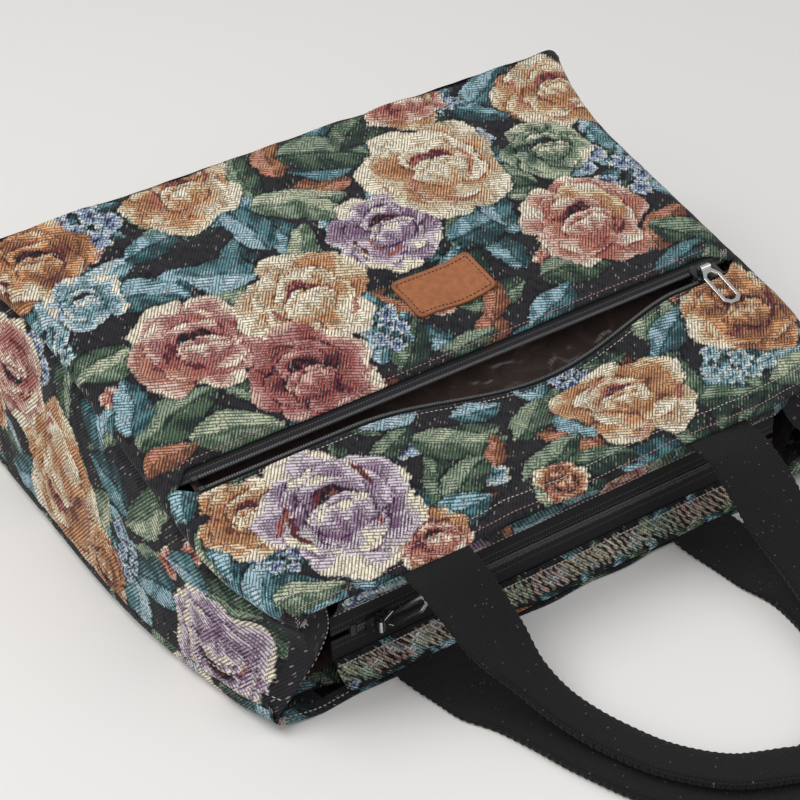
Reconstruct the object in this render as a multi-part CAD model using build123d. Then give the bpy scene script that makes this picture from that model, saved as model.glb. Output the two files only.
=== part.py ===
from build123d import *
import math
import os

# A tapestry tote bag that lies on its back panel, in millimetres.
# X runs across the bag, Y runs from the mouth (low) to the base (high), Z is up through the front panel.
# While the pieces are made, the mouth is at Y 0. At the end all of them move so that the origin is
# the bottom centre of the whole bag, handles included.

# Driving dimensions of the bag's body
HEIGHT = 294.0
BASE_WIDTH = 404.0
BACK_MOUTH_WIDTH = 360.0
FRONT_WAIST_WIDTH = 364.0
FRONT_BASE_WIDTH = 402.0
FRONT_MOUTH_WIDTH = 326.0
BASE_DEPTH = 130.0
MOUTH_DEPTH = 65.0
BASE_BULGE = 4.0
FRONT_CROWN = 5.0
MOUTH_PINCH = 11.0
GUSSET_BULGE = 3.0

# Cloth
CLOTH = 1.6
LINING = 0.8
SOLE_TRIM = 0.1
SEAM_GAP = 0.6
LINING_GAP = 1.0
SIDE_LINING_GAP = 1.8
ROLL_RADIUS = 9.0
BACK_EDGE_RADIUS = 7.0

# Pocket zip, on the front panel
POCKET_ZIP_Y = 93.0
POCKET_SLOT = 8.0
POCKET_TAPE_HALF = 170.0
POCKET_TEETH_HALF = 160.0
POCKET_SLIDER_X = 152.0
POCKET_DEPTH = 16.0
POCKET_BOTTOM_Y = 248.0
POCKET_HALF = 164.0

# Main zip, in the mouth
MAIN_ZIP_Z = 28.0
MAIN_ZIP_Y = 14.6
MAIN_TAPE_HALF = 138.0
MAIN_TEETH_HALF = 124.0
MAIN_SLIDER_X = -113.0
FACING_TOP_Z = 59.4

# Zip tape and teeth. A row's stand is the distance from the zip's middle to the tips of its teeth.
POCKET_STAND = 2.5
MAIN_STAND = 0.9
TAPE = 0.6
TAPE_WIDTH = 11.4
TOOTH = 2.4
TOOTH_HEIGHT = 2.4
TOOTH_ROOT = 2.8
TOOTH_TIP = 1.9
TOOTH_PITCH = 5.0
SPINE_IN = 1.4
STOP_LENGTH = 3.0
STOP_GAP = 0.3

# Slider and pull
SLIDE_GAP = 0.35
SLIDER_LENGTH = 13.0
SLIDER_WALL = 0.65
SLIDER_FLARE = 0.7
PLATE = 1.3
LEG_IN = 3.6
LEG_OUT = 4.9
LEG_DEPTH = 1.6
BAR_HEIGHT = 6.0
BAR_RADIUS = 0.7
KNUCKLE_WALL = 0.8
PULL_LENGTH = 28.0
PULL_WIDTH = 11.5
PULL_HEAD = 5.0
PULL_SHOULDER = 7.0
PULL_RIM = 2.1
PULL_THICK = 1.4
PULL_TILT = 5.0

# Handles
STRAP_WIDTH = 38.0
STRAP = 2.0
GRIP_WIDTH = 20.0
GRIP = 4.4
HANDLE_SPACING = 172.0
ROOT_TUCK = 14.0
STRAP_STATIONS = 33

# Leather tag
TAG_LENGTH = 52.0
TAG_WIDTH = 29.0
TAG = 1.4
TAG_CORNER = 3.5
TAG_X = 19.0
TAG_Y = 148.5
TAG_TURN = 3.0

# Where the walls' sections have their corners
TURN_ANGLES = (90.0, 60.0, 30.0, 0.0)
CROWN_SHARES = (0.75, 0.5, 0.25)
GUSSET_SHARES = (0.0, 0.25, 0.62, 1.0)
LINING_STATIONS = (30.0, 45.0, 60.0, 110.0, 206.0, 232.0, 262.0)
BODY_STATIONS = (0.0, 15.0, 35.0, 60.0, 110.0, 160.0, 206.0, 232.0, 262.0, HEIGHT)
FRONT_SLOPE = math.degrees(math.atan2(BASE_DEPTH - MOUTH_DEPTH, HEIGHT))


def half_back(y):
    """Half width of the back panel: it narrows over the half beside the mouth."""
    short = max(0.0, 1.0 - y / (0.55 * HEIGHT))
    return BASE_WIDTH / 2 - (BASE_WIDTH - BACK_MOUTH_WIDTH) / 2 * short ** 2


def half_front(y):
    """Half width of the front panel: it flares at the base and closes at the mouth."""
    flare = max(0.0, (y / HEIGHT - 0.7) / 0.3)
    close = max(0.0, 1.0 - y / (0.22 * HEIGHT))
    wide = (FRONT_BASE_WIDTH - FRONT_WAIST_WIDTH) / 2 * flare ** 2
    narrow = (FRONT_WAIST_WIDTH - FRONT_MOUTH_WIDTH) / 2 * close ** 2
    return FRONT_WAIST_WIDTH / 2 + wide - narrow


def top(y):
    """Height of the front panel's plane."""
    return MOUTH_DEPTH + (BASE_DEPTH - MOUTH_DEPTH) * y / HEIGHT


def crown(y):
    """How far the middle of the front panel stands proud above its pocket zip."""
    start = POCKET_ZIP_Y + POCKET_SLOT
    if y < start:
        return 0.0
    return FRONT_CROWN * math.sin(math.pi * (y - start) / (HEIGHT - start)) ** 2


def pinch(y):
    """How far the gusset folds in: it closes at the mouth and swells beyond it."""
    near = max(0.0, 1.0 - y / 70.0)
    return MOUTH_PINCH * near ** 2 - GUSSET_BULGE * math.sin(math.pi * min(1.0, y / HEIGHT))


def offset_line(points, distance):
    """The same open line, moved to its right by a distance."""
    moved = []
    for i, (a, b) in enumerate(points):
        before = points[max(0, i - 1)]
        after = points[min(len(points) - 1, i + 1)]
        run = (after[0] - before[0], after[1] - before[1])
        size = math.hypot(*run)
        moved.append((a + distance * run[1] / size, b - distance * run[0] / size))
    return moved


def band_face(outer, inner, place):
    """A thin face between two open lines, with each point set in space by place(a, b)."""
    return Face(Wire.make_polygon([Vector(*place(a, b)) for a, b in outer + inner[::-1]]))


def tray_line(wide, level, radius, lean, proud, sink):
    """One side of a wide flat section with both edges turned, from its right end to its left end."""
    reach = wide - radius
    turn = radius - sink
    line = []
    for angle in TURN_ANGLES:
        spread = turn * math.sin(math.radians(angle))
        line.append((reach + spread, level + lean * (radius - turn * math.cos(math.radians(angle)))))
    if proud is not None:
        for share in CROWN_SHARES:
            line.append((share * reach, level + lean * sink + proud * (1 - share ** 2) ** 2))
    middle = [(0.0, level + lean * sink + proud)] if proud is not None else []
    return line + middle + [(-a, b) for a, b in reversed(line)]


def tray_face(y, wide, level, radius, lean, proud, depth, thick):
    """A wide flat section with both edges turned, up for a lean of 1 and down for a lean of -1."""
    outer = tray_line(wide, level, radius, lean, proud, depth)
    inner = tray_line(wide, level, radius, lean, proud, depth + thick)
    return band_face(outer, inner, lambda a, b: (a, y, b))


def stations_between(start, end):
    """The heights at which a wall's section is drawn."""
    return [start] + [y for y in BODY_STATIONS if start + 6 < y < end - 6] + [end]


def front_panel(start, end, crowned):
    """The front cloth between two heights."""
    faces = []
    for y in stations_between(start, end):
        proud = crown(y) if crowned else None
        faces.append(tray_face(y, half_front(y), top(y), ROLL_RADIUS, -1, proud, 0, CLOTH))
    return loft(faces, ruled=True)


def front_lining():
    """The lining behind the front: it dips from the mouth to pass under the pocket."""
    shallow = CLOTH + LINING_GAP + 1.4
    deep = POCKET_DEPTH + 2.0 * CLOTH + LINING_GAP
    dip_end = POCKET_ZIP_Y - 18.0
    faces = []
    for y in (26.0, 50.0, dip_end, 120.0, 185.0, 245.0, HEIGHT - 2 * CLOTH - 2.0):
        share = min(1.0, (y - 26.0) / (dip_end - 26.0))
        level = top(y) - shallow - (deep - shallow) * share
        faces.append(tray_face(y, half_front(y) - ROLL_RADIUS, level, 6.0, -1, None, 0, LINING))
    return loft(faces, ruled=True)


def back_sheet(start, end, level, depth, thick):
    """A flat sheet with its side edges turned up, between two heights."""
    faces = [tray_face(y, half_back(y), level, BACK_EDGE_RADIUS, 1, None, depth, thick)
             for y in stations_between(start, end)]
    return loft(faces, ruled=True)


def back_panel():
    """The back cloth: it is trimmed to one true plane where it rests on the table."""
    sheet = back_sheet(0.0, HEIGHT, -SOLE_TRIM, 0.0, CLOTH)
    return sheet - Pos(0, HEIGHT / 2, -ROLL_RADIUS / 2) * Box(2 * BASE_WIDTH, 2 * HEIGHT, ROLL_RADIUS)


def back_lining(end):
    """The lining on the back cloth."""
    return back_sheet(18.0, end, 0.0, CLOTH + LINING_GAP, LINING)


def gusset_line(y, sink):
    """The right gusset's section, from the front seam down to the back seam."""
    clear = SEAM_GAP + 0.35 * sink
    upper = (half_front(y), top(y) - ROLL_RADIUS - clear)
    lower = (half_back(y), BACK_EDGE_RADIUS + clear)
    line = []
    for share in GUSSET_SHARES:
        fold = 1.05 * math.sin(math.pi * share ** 0.85)
        x = upper[0] + (lower[0] - upper[0]) * share - pinch(y) * fold
        line.append((x, upper[1] + (lower[1] - upper[1]) * share))
    return offset_line(line, sink)


def gusset():
    """The right gusset."""
    faces = [band_face(gusset_line(y, 0.0), gusset_line(y, CLOTH), lambda a, b, y=y: (a, y, b))
             for y in stations_between(0.0, HEIGHT)]
    return loft(faces, ruled=True)


def side_lining(end):
    """The lining inside the right gusset: it hangs straight, clear of the gusset's fold."""
    faces = []
    for y in LINING_STATIONS + (end,):
        inset = CLOTH + SIDE_LINING_GAP + 1.1 * max(0.0, pinch(y))
        line = [(half_front(y), top(y) - ROLL_RADIUS - 2.0), (half_back(y), BACK_EDGE_RADIUS + 2.0)]
        outer = offset_line(line, inset)
        inner = offset_line(line, inset + LINING)
        faces.append(band_face(outer, inner, lambda a, b, y=y: (a, y, b)))
    return loft(faces, ruled=True)


def base_sheet(outline, y, thick):
    """A cloth across the bag's width and depth, bulged to high Y, from (z, half width, bulge) rows."""
    faces = []
    for z, half, swell in outline:
        line = [(-half, y), (-0.62 * half, y + 0.75 * swell), (0.0, y + swell),
                (0.62 * half, y + 0.75 * swell), (half, y)]
        inner = [(a, b - thick) for a, b in line]

        def place(a, b, z=z):
            return (a, b, z)
        faces.append(band_face(line, inner, place))
    return loft(faces, ruled=True)


def base_panel():
    """The base cloth, seamed to the rims of the four walls."""
    half = BASE_WIDTH / 2 - 0.8
    outline = [(0.4, half - 7.0, 0.0), (3.0, half - 2.2, 0.8), (9.0, half, 2.0), (BASE_DEPTH / 2, half, BASE_BULGE),
               (BASE_DEPTH - 11.0, half - 0.8, 2.2), (BASE_DEPTH - 3.0, half - 4.0, 0.8),
               (BASE_DEPTH - 0.4, half - 9.5, 0.0)]
    return base_sheet(outline, HEIGHT + 0.2 + CLOTH, CLOTH)


def base_lining():
    """The lining inside the base."""
    half = BASE_WIDTH / 2 - 8.0
    low = CLOTH + LINING_GAP + LINING + 1.0
    high = BASE_DEPTH - POCKET_DEPTH - 8.0
    outline = [(low, half - 2, 0.0), (BASE_DEPTH / 2, half - 4, 1.5), (high, half - 6, 0.0)]
    return base_sheet(outline, HEIGHT - CLOTH, LINING)


def zip_tape(half, side, stand):
    """One cloth tape of a zip, on the plus or minus side of the middle line."""
    middle = side * (stand + TOOTH + TAPE_WIDTH / 2)
    return Pos(0, middle, 0) * Box(2 * half, TAPE_WIDTH, TAPE)


def teeth_row(half, side, stand):
    """A row of teeth on its spine, along the inner edge of one tape, half a pitch ahead of the other row."""
    shift = 0.25 * TOOTH_PITCH * side
    count = int((2 * (half - abs(shift)) - TOOTH_ROOT) / TOOTH_PITCH) + 1
    first = shift - 0.5 * (count - 1) * TOOTH_PITCH
    spine = stand + SPINE_IN
    points = [(-half, stand + TOOTH), (-half, spine)]
    for i in range(count):
        x = first + i * TOOTH_PITCH
        points += [(x - TOOTH_ROOT / 2, spine), (x - TOOTH_TIP / 2, stand)]
        points += [(x + TOOTH_TIP / 2, stand), (x + TOOTH_ROOT / 2, spine)]
    points += [(half, spine), (half, stand + TOOTH)]
    row = make_face(Polyline(*[(x, side * y) for x, y in points], close=True))
    return extrude(row, TOOTH_HEIGHT / 2, both=True)


def zip_stops(half, open_end, stand):
    """Three metal stops: one on each row at the closed end, one across both at the other."""
    place = half + STOP_GAP + STOP_LENGTH / 2
    single = Box(STOP_LENGTH, TOOTH, TOOTH_HEIGHT)
    pair = [Pos(-open_end * place, side * (stand + TOOTH / 2), 0) * single for side in (-1, 1)]
    across = Pos(open_end * place, 0, 0) * Box(STOP_LENGTH, 2 * (stand + TOOTH), TOOTH_HEIGHT)
    return Compound(children=[*pair, across])


def slider(bar_across, nose, stand):
    """A zip slider: two plates on a post, flanges that hold the rows in, and the bar for the pull."""
    inner = TOOTH_HEIGHT / 2 + SLIDE_GAP
    half = SLIDER_LENGTH / 2
    wall_in = stand + TOOTH + SLIDE_GAP
    tail = wall_in + SLIDER_WALL
    wide = tail + SLIDER_FLARE
    outline = Polyline((-half, 0.8 - tail), (-half, tail - 0.8), (0.8 - half, tail), (half - 3.0, wide),
                       (half, wide - 2.6), (half, 2.6 - wide), (half - 3.0, -wide), (0.8 - half, -tail), close=True)
    outline = make_face(outline)
    body = Pos(0, 0, inner) * extrude(outline, PLATE)
    body += Pos(0, 0, -inner - PLATE) * extrude(outline, PLATE)
    thin = stand - SLIDE_GAP
    wedge = Polyline((-2.6, 0), (0.4, -thin), (1.8, -thin), (2.6, 0), (1.8, thin), (0.4, thin), close=True)
    post = extrude(make_face(wedge), 2 * inner + 0.2)
    body += Pos(half - 3.2, 0, -inner - 0.1) * post
    gap = TAPE / 2 + SLIDE_GAP
    for side in (-1, 1):
        for up in (-1, 1):
            wall = Box(SLIDER_LENGTH - 4.0, SLIDER_WALL, inner - gap + 0.1)
            body += Pos(0, side * (wall_in + SLIDER_WALL / 2), up * (inner + gap + 0.1) / 2) * wall
    turn = 90 if bar_across else 0
    body += Rot(0, 0, turn) * bridge(inner + PLATE)
    return body if nose > 0 else Rot(0, 0, 180) * body


def bridge(floor):
    """Two legs and a round bar between them, along X, above the slider's top plate."""
    leg_height = BAR_HEIGHT + BAR_RADIUS + 0.3 - floor
    middle = (LEG_IN + LEG_OUT) / 2
    leg = Box(LEG_OUT - LEG_IN, LEG_DEPTH, leg_height + 0.1)
    leg = fillet(leg.edges().filter_by(Axis.X).group_by(Axis.Z)[-1], 0.6)
    shape = Rot(0, 90, 0) * Cylinder(BAR_RADIUS, 2 * LEG_IN + 0.2)
    shape = Pos(0, 0, BAR_HEIGHT) * shape
    for side in (-1, 1):
        shape += Pos(side * middle, 0, floor + (leg_height - 0.1) / 2) * leg
    return shape


def pull():
    """The hollow pull: a long frame with cut corners, on a knuckle round the bar on the X axis, along minus Y."""
    eye = BAR_RADIUS + SLIDE_GAP
    outer = pull_outline(1.3, PULL_HEAD / 2, PULL_WIDTH / 2, PULL_LENGTH, 3.0)
    inner = pull_outline(1.3 + PULL_RIM + 1.0, PULL_HEAD / 2 - 1.2, PULL_WIDTH / 2 - PULL_RIM,
                         PULL_LENGTH - PULL_RIM, 2.2)
    frame = extrude(outer, PULL_THICK) - extrude(inner, PULL_THICK)
    frame = chamfer(frame.edges().filter_by(GeomType.LINE).group_by(Axis.Z)[-1], 0.25)
    frame = Pos(0, 0, -PULL_THICK / 2) * frame
    knuckle = Cylinder(eye + KNUCKLE_WALL, 2 * (LEG_IN - SLIDE_GAP)) - Cylinder(eye, 2 * LEG_IN)
    return frame + Rot(0, 90, 0) * knuckle


def pull_outline(head, narrow, wide, length, cut):
    """A long eight-sided outline, from beside the bar to its tail."""
    points = [(-narrow, -head), (narrow, -head), (wide, -PULL_SHOULDER), (wide, cut - length),
              (wide - cut, -length), (cut - wide, -length), (-wide, cut - length), (-wide, -PULL_SHOULDER)]
    return make_face(Polyline(*points, close=True))


def pocket_place():
    """Where the pocket zip's middle lies: just under the front cloth, in its slope."""
    sunk = CLOTH + 0.3 + TAPE / 2
    return Pos(0, POCKET_ZIP_Y, top(POCKET_ZIP_Y) - sunk) * Rot(FRONT_SLOPE, 0, 0)


def main_place():
    """Where the main zip's middle lies: upright in the mouth, with its top side to the viewer."""
    return Pos(0, MAIN_ZIP_Y, MAIN_ZIP_Z) * Rot(90, 0, 0)


def pocket_front_lining():
    """The pocket's front sheet, sewn to the upper tape: it lies flat behind the front panel."""
    under = -TAPE / 2 - 0.1
    start = POCKET_STAND + TOOTH + 3.5
    run = POCKET_BOTTOM_Y - POCKET_ZIP_Y
    middle = (start + run) / 2
    return pocket_place() * Pos(0, middle, under - LINING / 2) * Box(2 * POCKET_HALF, run - start, LINING)


def pocket_back_lining():
    """The pocket's back sheet: a shallow tray, seamed to the front sheet and to the lower tape by its rim."""
    rim = -TAPE / 2 - 0.1 - LINING - 0.2
    start = -POCKET_STAND - TOOTH - 10.0
    run = POCKET_BOTTOM_Y - POCKET_ZIP_Y
    middle = (start + run) / 2
    deep = POCKET_DEPTH + rim
    tray = Pos(0, middle, rim - deep / 2) * Box(2 * POCKET_HALF, run - start, deep)
    tray = fillet(tray.edges().filter_by(Axis.Z), 12.0)
    tray = offset(tray, amount=-LINING, openings=tray.faces().sort_by(Axis.Z)[-1])
    return pocket_place() * tray


def facing(upper):
    """A tapestry strip that turns in from the mouth's edge to one side of the main zip."""
    edge = MAIN_ZIP_Y - TAPE / 2 - 0.1 - LINING - 0.4
    reach = MAIN_STAND + TOOTH + TAPE_WIDTH - 1.0
    if upper:
        line = [(3.0, FACING_TOP_Z), (5.6, FACING_TOP_Z - 6.5), (9.6, FACING_TOP_Z - 12.5),
                (edge, MAIN_ZIP_Z + reach)]
    else:
        line = [(edge, MAIN_ZIP_Z - reach), (9.8, 10.2), (6.0, 7.8), (2.0, CLOTH + STRAP + 2.4)]
    face = band_face(line, offset_line(line, -LINING - 0.4), lambda a, b: (0, a, b))
    return extrude(face, MAIN_TAPE_HALF, both=True)


def strap(route):
    """A strap along a smooth route of (x, y, z, fold) points: flat and wide at 0, folded in half at 1."""
    path = Spline(*[Vector(*point[:3]) for point in route])
    marks = [path.param_at_point(Vector(*point[:3])) for point in route]
    faces = []
    for i in range(STRAP_STATIONS):
        share = i / (STRAP_STATIONS - 1)
        after = next((k for k, mark in enumerate(marks) if mark > share), len(marks) - 1)
        between = (share - marks[after - 1]) / (marks[after] - marks[after - 1])
        fold = route[after - 1][3] + (route[after][3] - route[after - 1][3]) * between
        width = STRAP_WIDTH + (GRIP_WIDTH - STRAP_WIDTH) * fold
        thick = STRAP + (GRIP - STRAP) * fold
        ahead = path.tangent_at(share)
        across = ahead.cross(Vector(0, 0, 1)).normalized()
        section = Plane(origin=path.position_at(share), x_dir=across, z_dir=ahead)
        faces.append(section * Rectangle(width, thick))
    return loft(faces, ruled=True)


def front_handle():
    """The handle sewn under the front hem: it droops to the table and lies towards the right."""
    side = HANDLE_SPACING / 2
    root = MOUTH_DEPTH - CLOTH - 0.7 - STRAP / 2
    low = root - 52.5
    route = [(-side, ROOT_TUCK, root + 2.4, 0), (-side, 0.0, root, 0), (-side + 2, -13.0, root - 5.0, 0),
             (-side + 5, -27.0, root - 16.0, 0), (-side + 9, -41.0, root - 28.5, 0.2),
             (-side + 14, -57.0, root - 40.0, 0.8), (-side + 20, -77.0, root - 48.0, 1),
             (-side + 29, -101.0, low + 0.5, 1), (-side + 41, -127.0, low, 1), (-side + 60, -149.0, low, 1),
             (-side + 83, -161.0, low, 1), (10.0, -165.0, low, 1), (35.0, -159.0, low, 1), (55.0, -144.0, low, 1),
             (69.0, -121.0, low + 1.0, 1), (78.0, -95.0, root - 46.5, 1), (83.0, -71.0, root - 39.0, 0.8),
             (side + 1, -51.0, root - 28.0, 0.2), (side + 3, -33.0, root - 17.0, 0),
             (side + 3, -16.0, root - 6.5, 0), (side, 0.0, root, 0), (side, ROOT_TUCK, root + 2.4, 0)]
    return strap(route)


def back_handle():
    """The handle sewn inside the back panel: it lies flat on the table, under the other one."""
    low = CLOTH + 0.35 + STRAP / 2
    wide = STRAP / 2 + 0.4
    flat = GRIP / 2 + 0.25
    route = [(-94.0, ROOT_TUCK, low, 0), (-94.0, 1.0, low, 0), (-92.0, -10.0, low - 0.8, 0),
             (-88.0, -25.0, wide, 0), (-85.0, -41.0, wide + 0.1, 0.1), (-82.0, -58.0, flat - 0.4, 0.8),
             (-77.0, -78.0, flat, 1), (-69.0, -103.0, flat, 1), (-57.0, -131.0, flat, 1),
             (-38.0, -157.0, flat, 1), (-12.0, -172.0, flat, 1), (16.0, -174.0, flat, 1), (42.0, -163.0, flat, 1),
             (60.0, -142.0, flat, 1), (71.0, -117.0, flat, 1), (77.0, -92.0, flat, 1),
             (81.0, -70.0, flat - 0.4, 0.8), (83.0, -50.0, wide + 0.1, 0.1), (82.0, -31.0, wide, 0),
             (79.0, -12.0, low - 0.8, 0), (78.0, 1.0, low, 0), (78.0, ROOT_TUCK, low, 0)]
    return strap(route)


def leather_tag(panel):
    """The stitched tag, seated on the front cloth."""
    plate = extrude(RectangleRounded(TAG_LENGTH, TAG_WIDTH, TAG_CORNER), TAG + 0.4)
    height = top(TAG_Y) + crown(TAG_Y) - 0.5
    place = Pos(TAG_X, TAG_Y, height) * Rot(FRONT_SLOPE + 1.4, 0, 0) * Rot(0, 0, TAG_TURN)
    return place * plate - panel


def zip_parts(prefix, place, tape_half, teeth_half, open_end, stand, names):
    """The tapes, rows and stops of one zip, by node name."""
    parts = {}
    for side, name in names:
        parts[f"{prefix}_{name}_tape"] = place * zip_tape(tape_half, side, stand)
        parts[f"{prefix}_{name}_teeth"] = place * teeth_row(teeth_half, side, stand)
    parts[f"{prefix}_stops"] = place * zip_stops(teeth_half, open_end, stand)
    return parts


def make_parts():
    """Every piece, by node name, with the mouth at Y 0."""
    slot = POCKET_SLOT * math.cos(math.radians(FRONT_SLOPE))
    short = HEIGHT - 2 * CLOTH - 2.0
    parts = {
        "front_lower_panel": front_panel(0.0, POCKET_ZIP_Y - slot, False),
        "front_upper_panel": front_panel(POCKET_ZIP_Y + slot, HEIGHT, True),
        "back_panel": back_panel(),
        "right_gusset": gusset(),
        "base_panel": base_panel(),
        "front_lining": front_lining(),
        "back_lining": back_lining(short),
        "right_lining": side_lining(short),
        "base_lining": base_lining(),
        "front_handle": front_handle(),
        "back_handle": back_handle(),
        "pocket_front_lining": pocket_front_lining(),
        "pocket_back_lining": pocket_back_lining(),
        "front_zip_facing": facing(True),
        "back_zip_facing": facing(False),
    }
    parts["left_gusset"] = mirror(parts["right_gusset"], about=Plane.YZ)
    parts["left_lining"] = mirror(parts["right_lining"], about=Plane.YZ)
    parts["leather_tag"] = leather_tag(parts["front_upper_panel"])
    sides = ((1, "upper"), (-1, "lower"))
    parts.update(zip_parts("pocket_zip", pocket_place(), POCKET_TAPE_HALF, POCKET_TEETH_HALF, 1, POCKET_STAND, sides))
    sides = ((1, "front"), (-1, "back"))
    parts.update(zip_parts("main_zip", main_place(), MAIN_TAPE_HALF, MAIN_TEETH_HALF, -1, MAIN_STAND, sides))
    at_pocket = pocket_place() * Pos(POCKET_SLIDER_X, 0, 0)
    at_main = main_place() * Pos(MAIN_SLIDER_X, 0, 0)
    parts["pocket_zip_slider"] = at_pocket * slider(False, -1, POCKET_STAND)
    parts["main_zip_slider"] = at_main * slider(True, 1, MAIN_STAND)
    hang = Pos(0, 0, BAR_HEIGHT)
    parts["pocket_zip_pull"] = at_pocket * hang * Rot(PULL_TILT, 0, 0) * pull()
    parts["main_zip_pull"] = at_main * hang * Rot(0, 0, 90) * Rot(PULL_TILT, 0, 0) * pull()
    return parts


def bounds_of(parts):
    """The box round all the pieces."""
    boxes = [part.bounding_box() for part in parts.values()]
    low = [min(getattr(box.min, axis) for box in boxes) for axis in "XYZ"]
    high = [max(getattr(box.max, axis) for box in boxes) for axis in "XYZ"]
    return low, high


def main():
    """Moves the origin to the bottom centre, writes each node, and prints the joints' places."""
    os.makedirs("parts", exist_ok=True)
    parts = make_parts()
    low, high = bounds_of(parts)
    shift = [-(low[0] + high[0]) / 2, -(low[1] + high[1]) / 2, -low[2]]
    for name, part in parts.items():
        export_step(Pos(*shift) * part, f"parts/{name}.step")
    print("shift", [round(value, 4) for value in shift])
    print("size", [round(high[i] - low[i], 2) for i in range(3)])
    for name, place, spot in (("pocket", pocket_place(), POCKET_SLIDER_X), ("main", main_place(), MAIN_SLIDER_X)):
        bar = (Pos(*shift) * place * Pos(spot, 0, BAR_HEIGHT)).position
        print(name, "bar", [round(value, 4) for value in bar])
    for name, part in parts.items():
        if not part.is_valid:
            print("not valid", name)


main()
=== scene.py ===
import math
import random

import bmesh
import bpy
import numpy as np
from mathutils import Matrix, Vector


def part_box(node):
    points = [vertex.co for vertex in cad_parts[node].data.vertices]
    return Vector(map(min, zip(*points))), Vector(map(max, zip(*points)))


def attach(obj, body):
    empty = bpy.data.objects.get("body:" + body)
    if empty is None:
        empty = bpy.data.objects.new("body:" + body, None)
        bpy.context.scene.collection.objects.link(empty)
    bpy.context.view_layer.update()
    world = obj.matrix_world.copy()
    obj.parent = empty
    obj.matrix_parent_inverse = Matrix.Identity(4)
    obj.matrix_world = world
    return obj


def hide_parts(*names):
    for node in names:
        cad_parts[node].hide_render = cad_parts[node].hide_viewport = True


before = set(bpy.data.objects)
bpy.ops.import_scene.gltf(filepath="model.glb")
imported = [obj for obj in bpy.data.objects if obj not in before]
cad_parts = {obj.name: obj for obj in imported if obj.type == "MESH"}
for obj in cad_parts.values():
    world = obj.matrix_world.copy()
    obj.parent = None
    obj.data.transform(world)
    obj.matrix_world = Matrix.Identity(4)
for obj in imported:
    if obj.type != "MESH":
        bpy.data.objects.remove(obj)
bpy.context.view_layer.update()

bl_info = {
    "name": "Tapestry tote bag",
    "version": (1, 0, 0),
    "blender": (4, 5, 0),
    "location": "View3D > Sidebar > Tote",
    "description": "Dresses the frame of a tapestry tote bag: cloth, zips, handles, tag and stage",
    "category": "Object",
}

MM = 0.001
BACK_LOW, BACK_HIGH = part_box("back_panel")
MOUTH_Y = BACK_LOW[1]
TABLE_Z = BACK_LOW[2]

# The bag's body, measured from the mouth (h = 0) to the base
HEIGHT = BACK_HIGH[1] - MOUTH_Y
BASE_WIDTH = 404.0 * MM
BACK_MOUTH_WIDTH = 360.0 * MM
FRONT_WAIST_WIDTH = 364.0 * MM
FRONT_BASE_WIDTH = 402.0 * MM
FRONT_MOUTH_WIDTH = 326.0 * MM
BASE_DEPTH = 130.0 * MM
MOUTH_DEPTH = 65.0 * MM
BASE_BULGE = 4.0 * MM
FRONT_CROWN = 5.0 * MM
MOUTH_PINCH = 11.0 * MM
GUSSET_BULGE = 3.0 * MM
ROLL = 9.0 * MM
BACK_EDGE = 7.0 * MM
SLOPE = math.atan2(BASE_DEPTH - MOUTH_DEPTH, HEIGHT)
HEM_TURN = 1.0 * MM
LOWER_TURN = 8.0 * MM
LOWER_HEM = 12.0 * MM
UPPER_TURN = 9.0 * MM
FLAP = 20.0 * MM
BACK_HEM = 10.0 * MM
BACK_TURN = math.pi / 2 + 0.45

# How close two points are joined, and how far from a tube's ends its section starts
WELD = 0.01 * MM
TUBE_END = 1e-4

# The two zips
POCKET_H = 93.0 * MM
POCKET_SLOT = 8.0 * MM
POCKET_STAND = 2.5 * MM
POCKET_TAPE_HALF = 170.0 * MM
POCKET_TEETH_HALF = 160.0 * MM
POCKET_HALF = 164.0 * MM
POCKET_SUNK = 2.2 * MM
POCKET_BOTTOM = 155.0 * MM
POCKET_DEPTH = 16.0 * MM
MAIN_Z = 28.0 * MM
MAIN_H = 14.6 * MM
MAIN_TAPE_HALF = 138.0 * MM
MAIN_TEETH_HALF = 124.0 * MM
MAIN_STAND = 0.9 * MM
TAPE = 0.6 * MM
TAPE_WIDTH = 11.4 * MM
TOOTH = 2.4 * MM
COIL_PITCH = 1.45 * MM

# The pocket's mouth sags open between these two places across the bag
GAPE_LEFT = -75.0 * MM
GAPE_RIGHT = 128.0 * MM
GAPE_DROP = 12.0 * MM
GAPE_BACK = 9.0 * MM

# Sewing thread, and how far its stitches stand on the cloth
THREAD = 0.6 * MM
STITCH_LIFT = 0.25 * MM
FRAY_RADIUS = 0.19 * MM

# Handles
STRAP_WIDTH = 38.0 * MM
STRAP = 2.0 * MM
GRIP_WIDTH = 20.0 * MM
GRIP = 4.4 * MM
STRAP_STEPS = 520
STRAP_AROUND = 48

# Leather tag
TAG_LENGTH = 52.0 * MM
TAG_WIDTH = 29.0 * MM
TAG_THICK = 1.5 * MM
TAG_CORNER = 3.5 * MM
TAG_X = 19.0 * MM
TAG_H = 148.5 * MM
TAG_TURN = math.radians(3.0)
TAG_INSET = 2.6 * MM
TAG_STITCH = 2.5 * MM

# The photograph's camera
CAMERA_YAW = math.radians(30.45)
CAMERA_PITCH = math.radians(35.7)
CAMERA_ROLL = math.radians(3.58)
CAMERA_PLACE = (-478.75 * MM, -644.75 * MM, 699.03 * MM)
PICTURE = 800.0
FOCAL_PIXELS = 2069.66
SENSOR = 36.0

# Soft studio light: each lamp's name, place, width, power and colour, and the room's light
LAMPS = (
    ("key", (-0.7, 0.7, 1.7), 1.3, 17.0, (1.0, 0.985, 0.96)),
    ("fill", (-1.2, -0.7, 1.3), 1.6, 9.0, (1.0, 0.99, 0.97)),
    ("front", (0.9, -0.9, 1.3), 1.4, 5.0, (0.97, 0.98, 1.0)),
)
ROOM_COLOR = (0.96, 0.97, 1.0, 1.0)
ROOM_STRENGTH = 0.50

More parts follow.
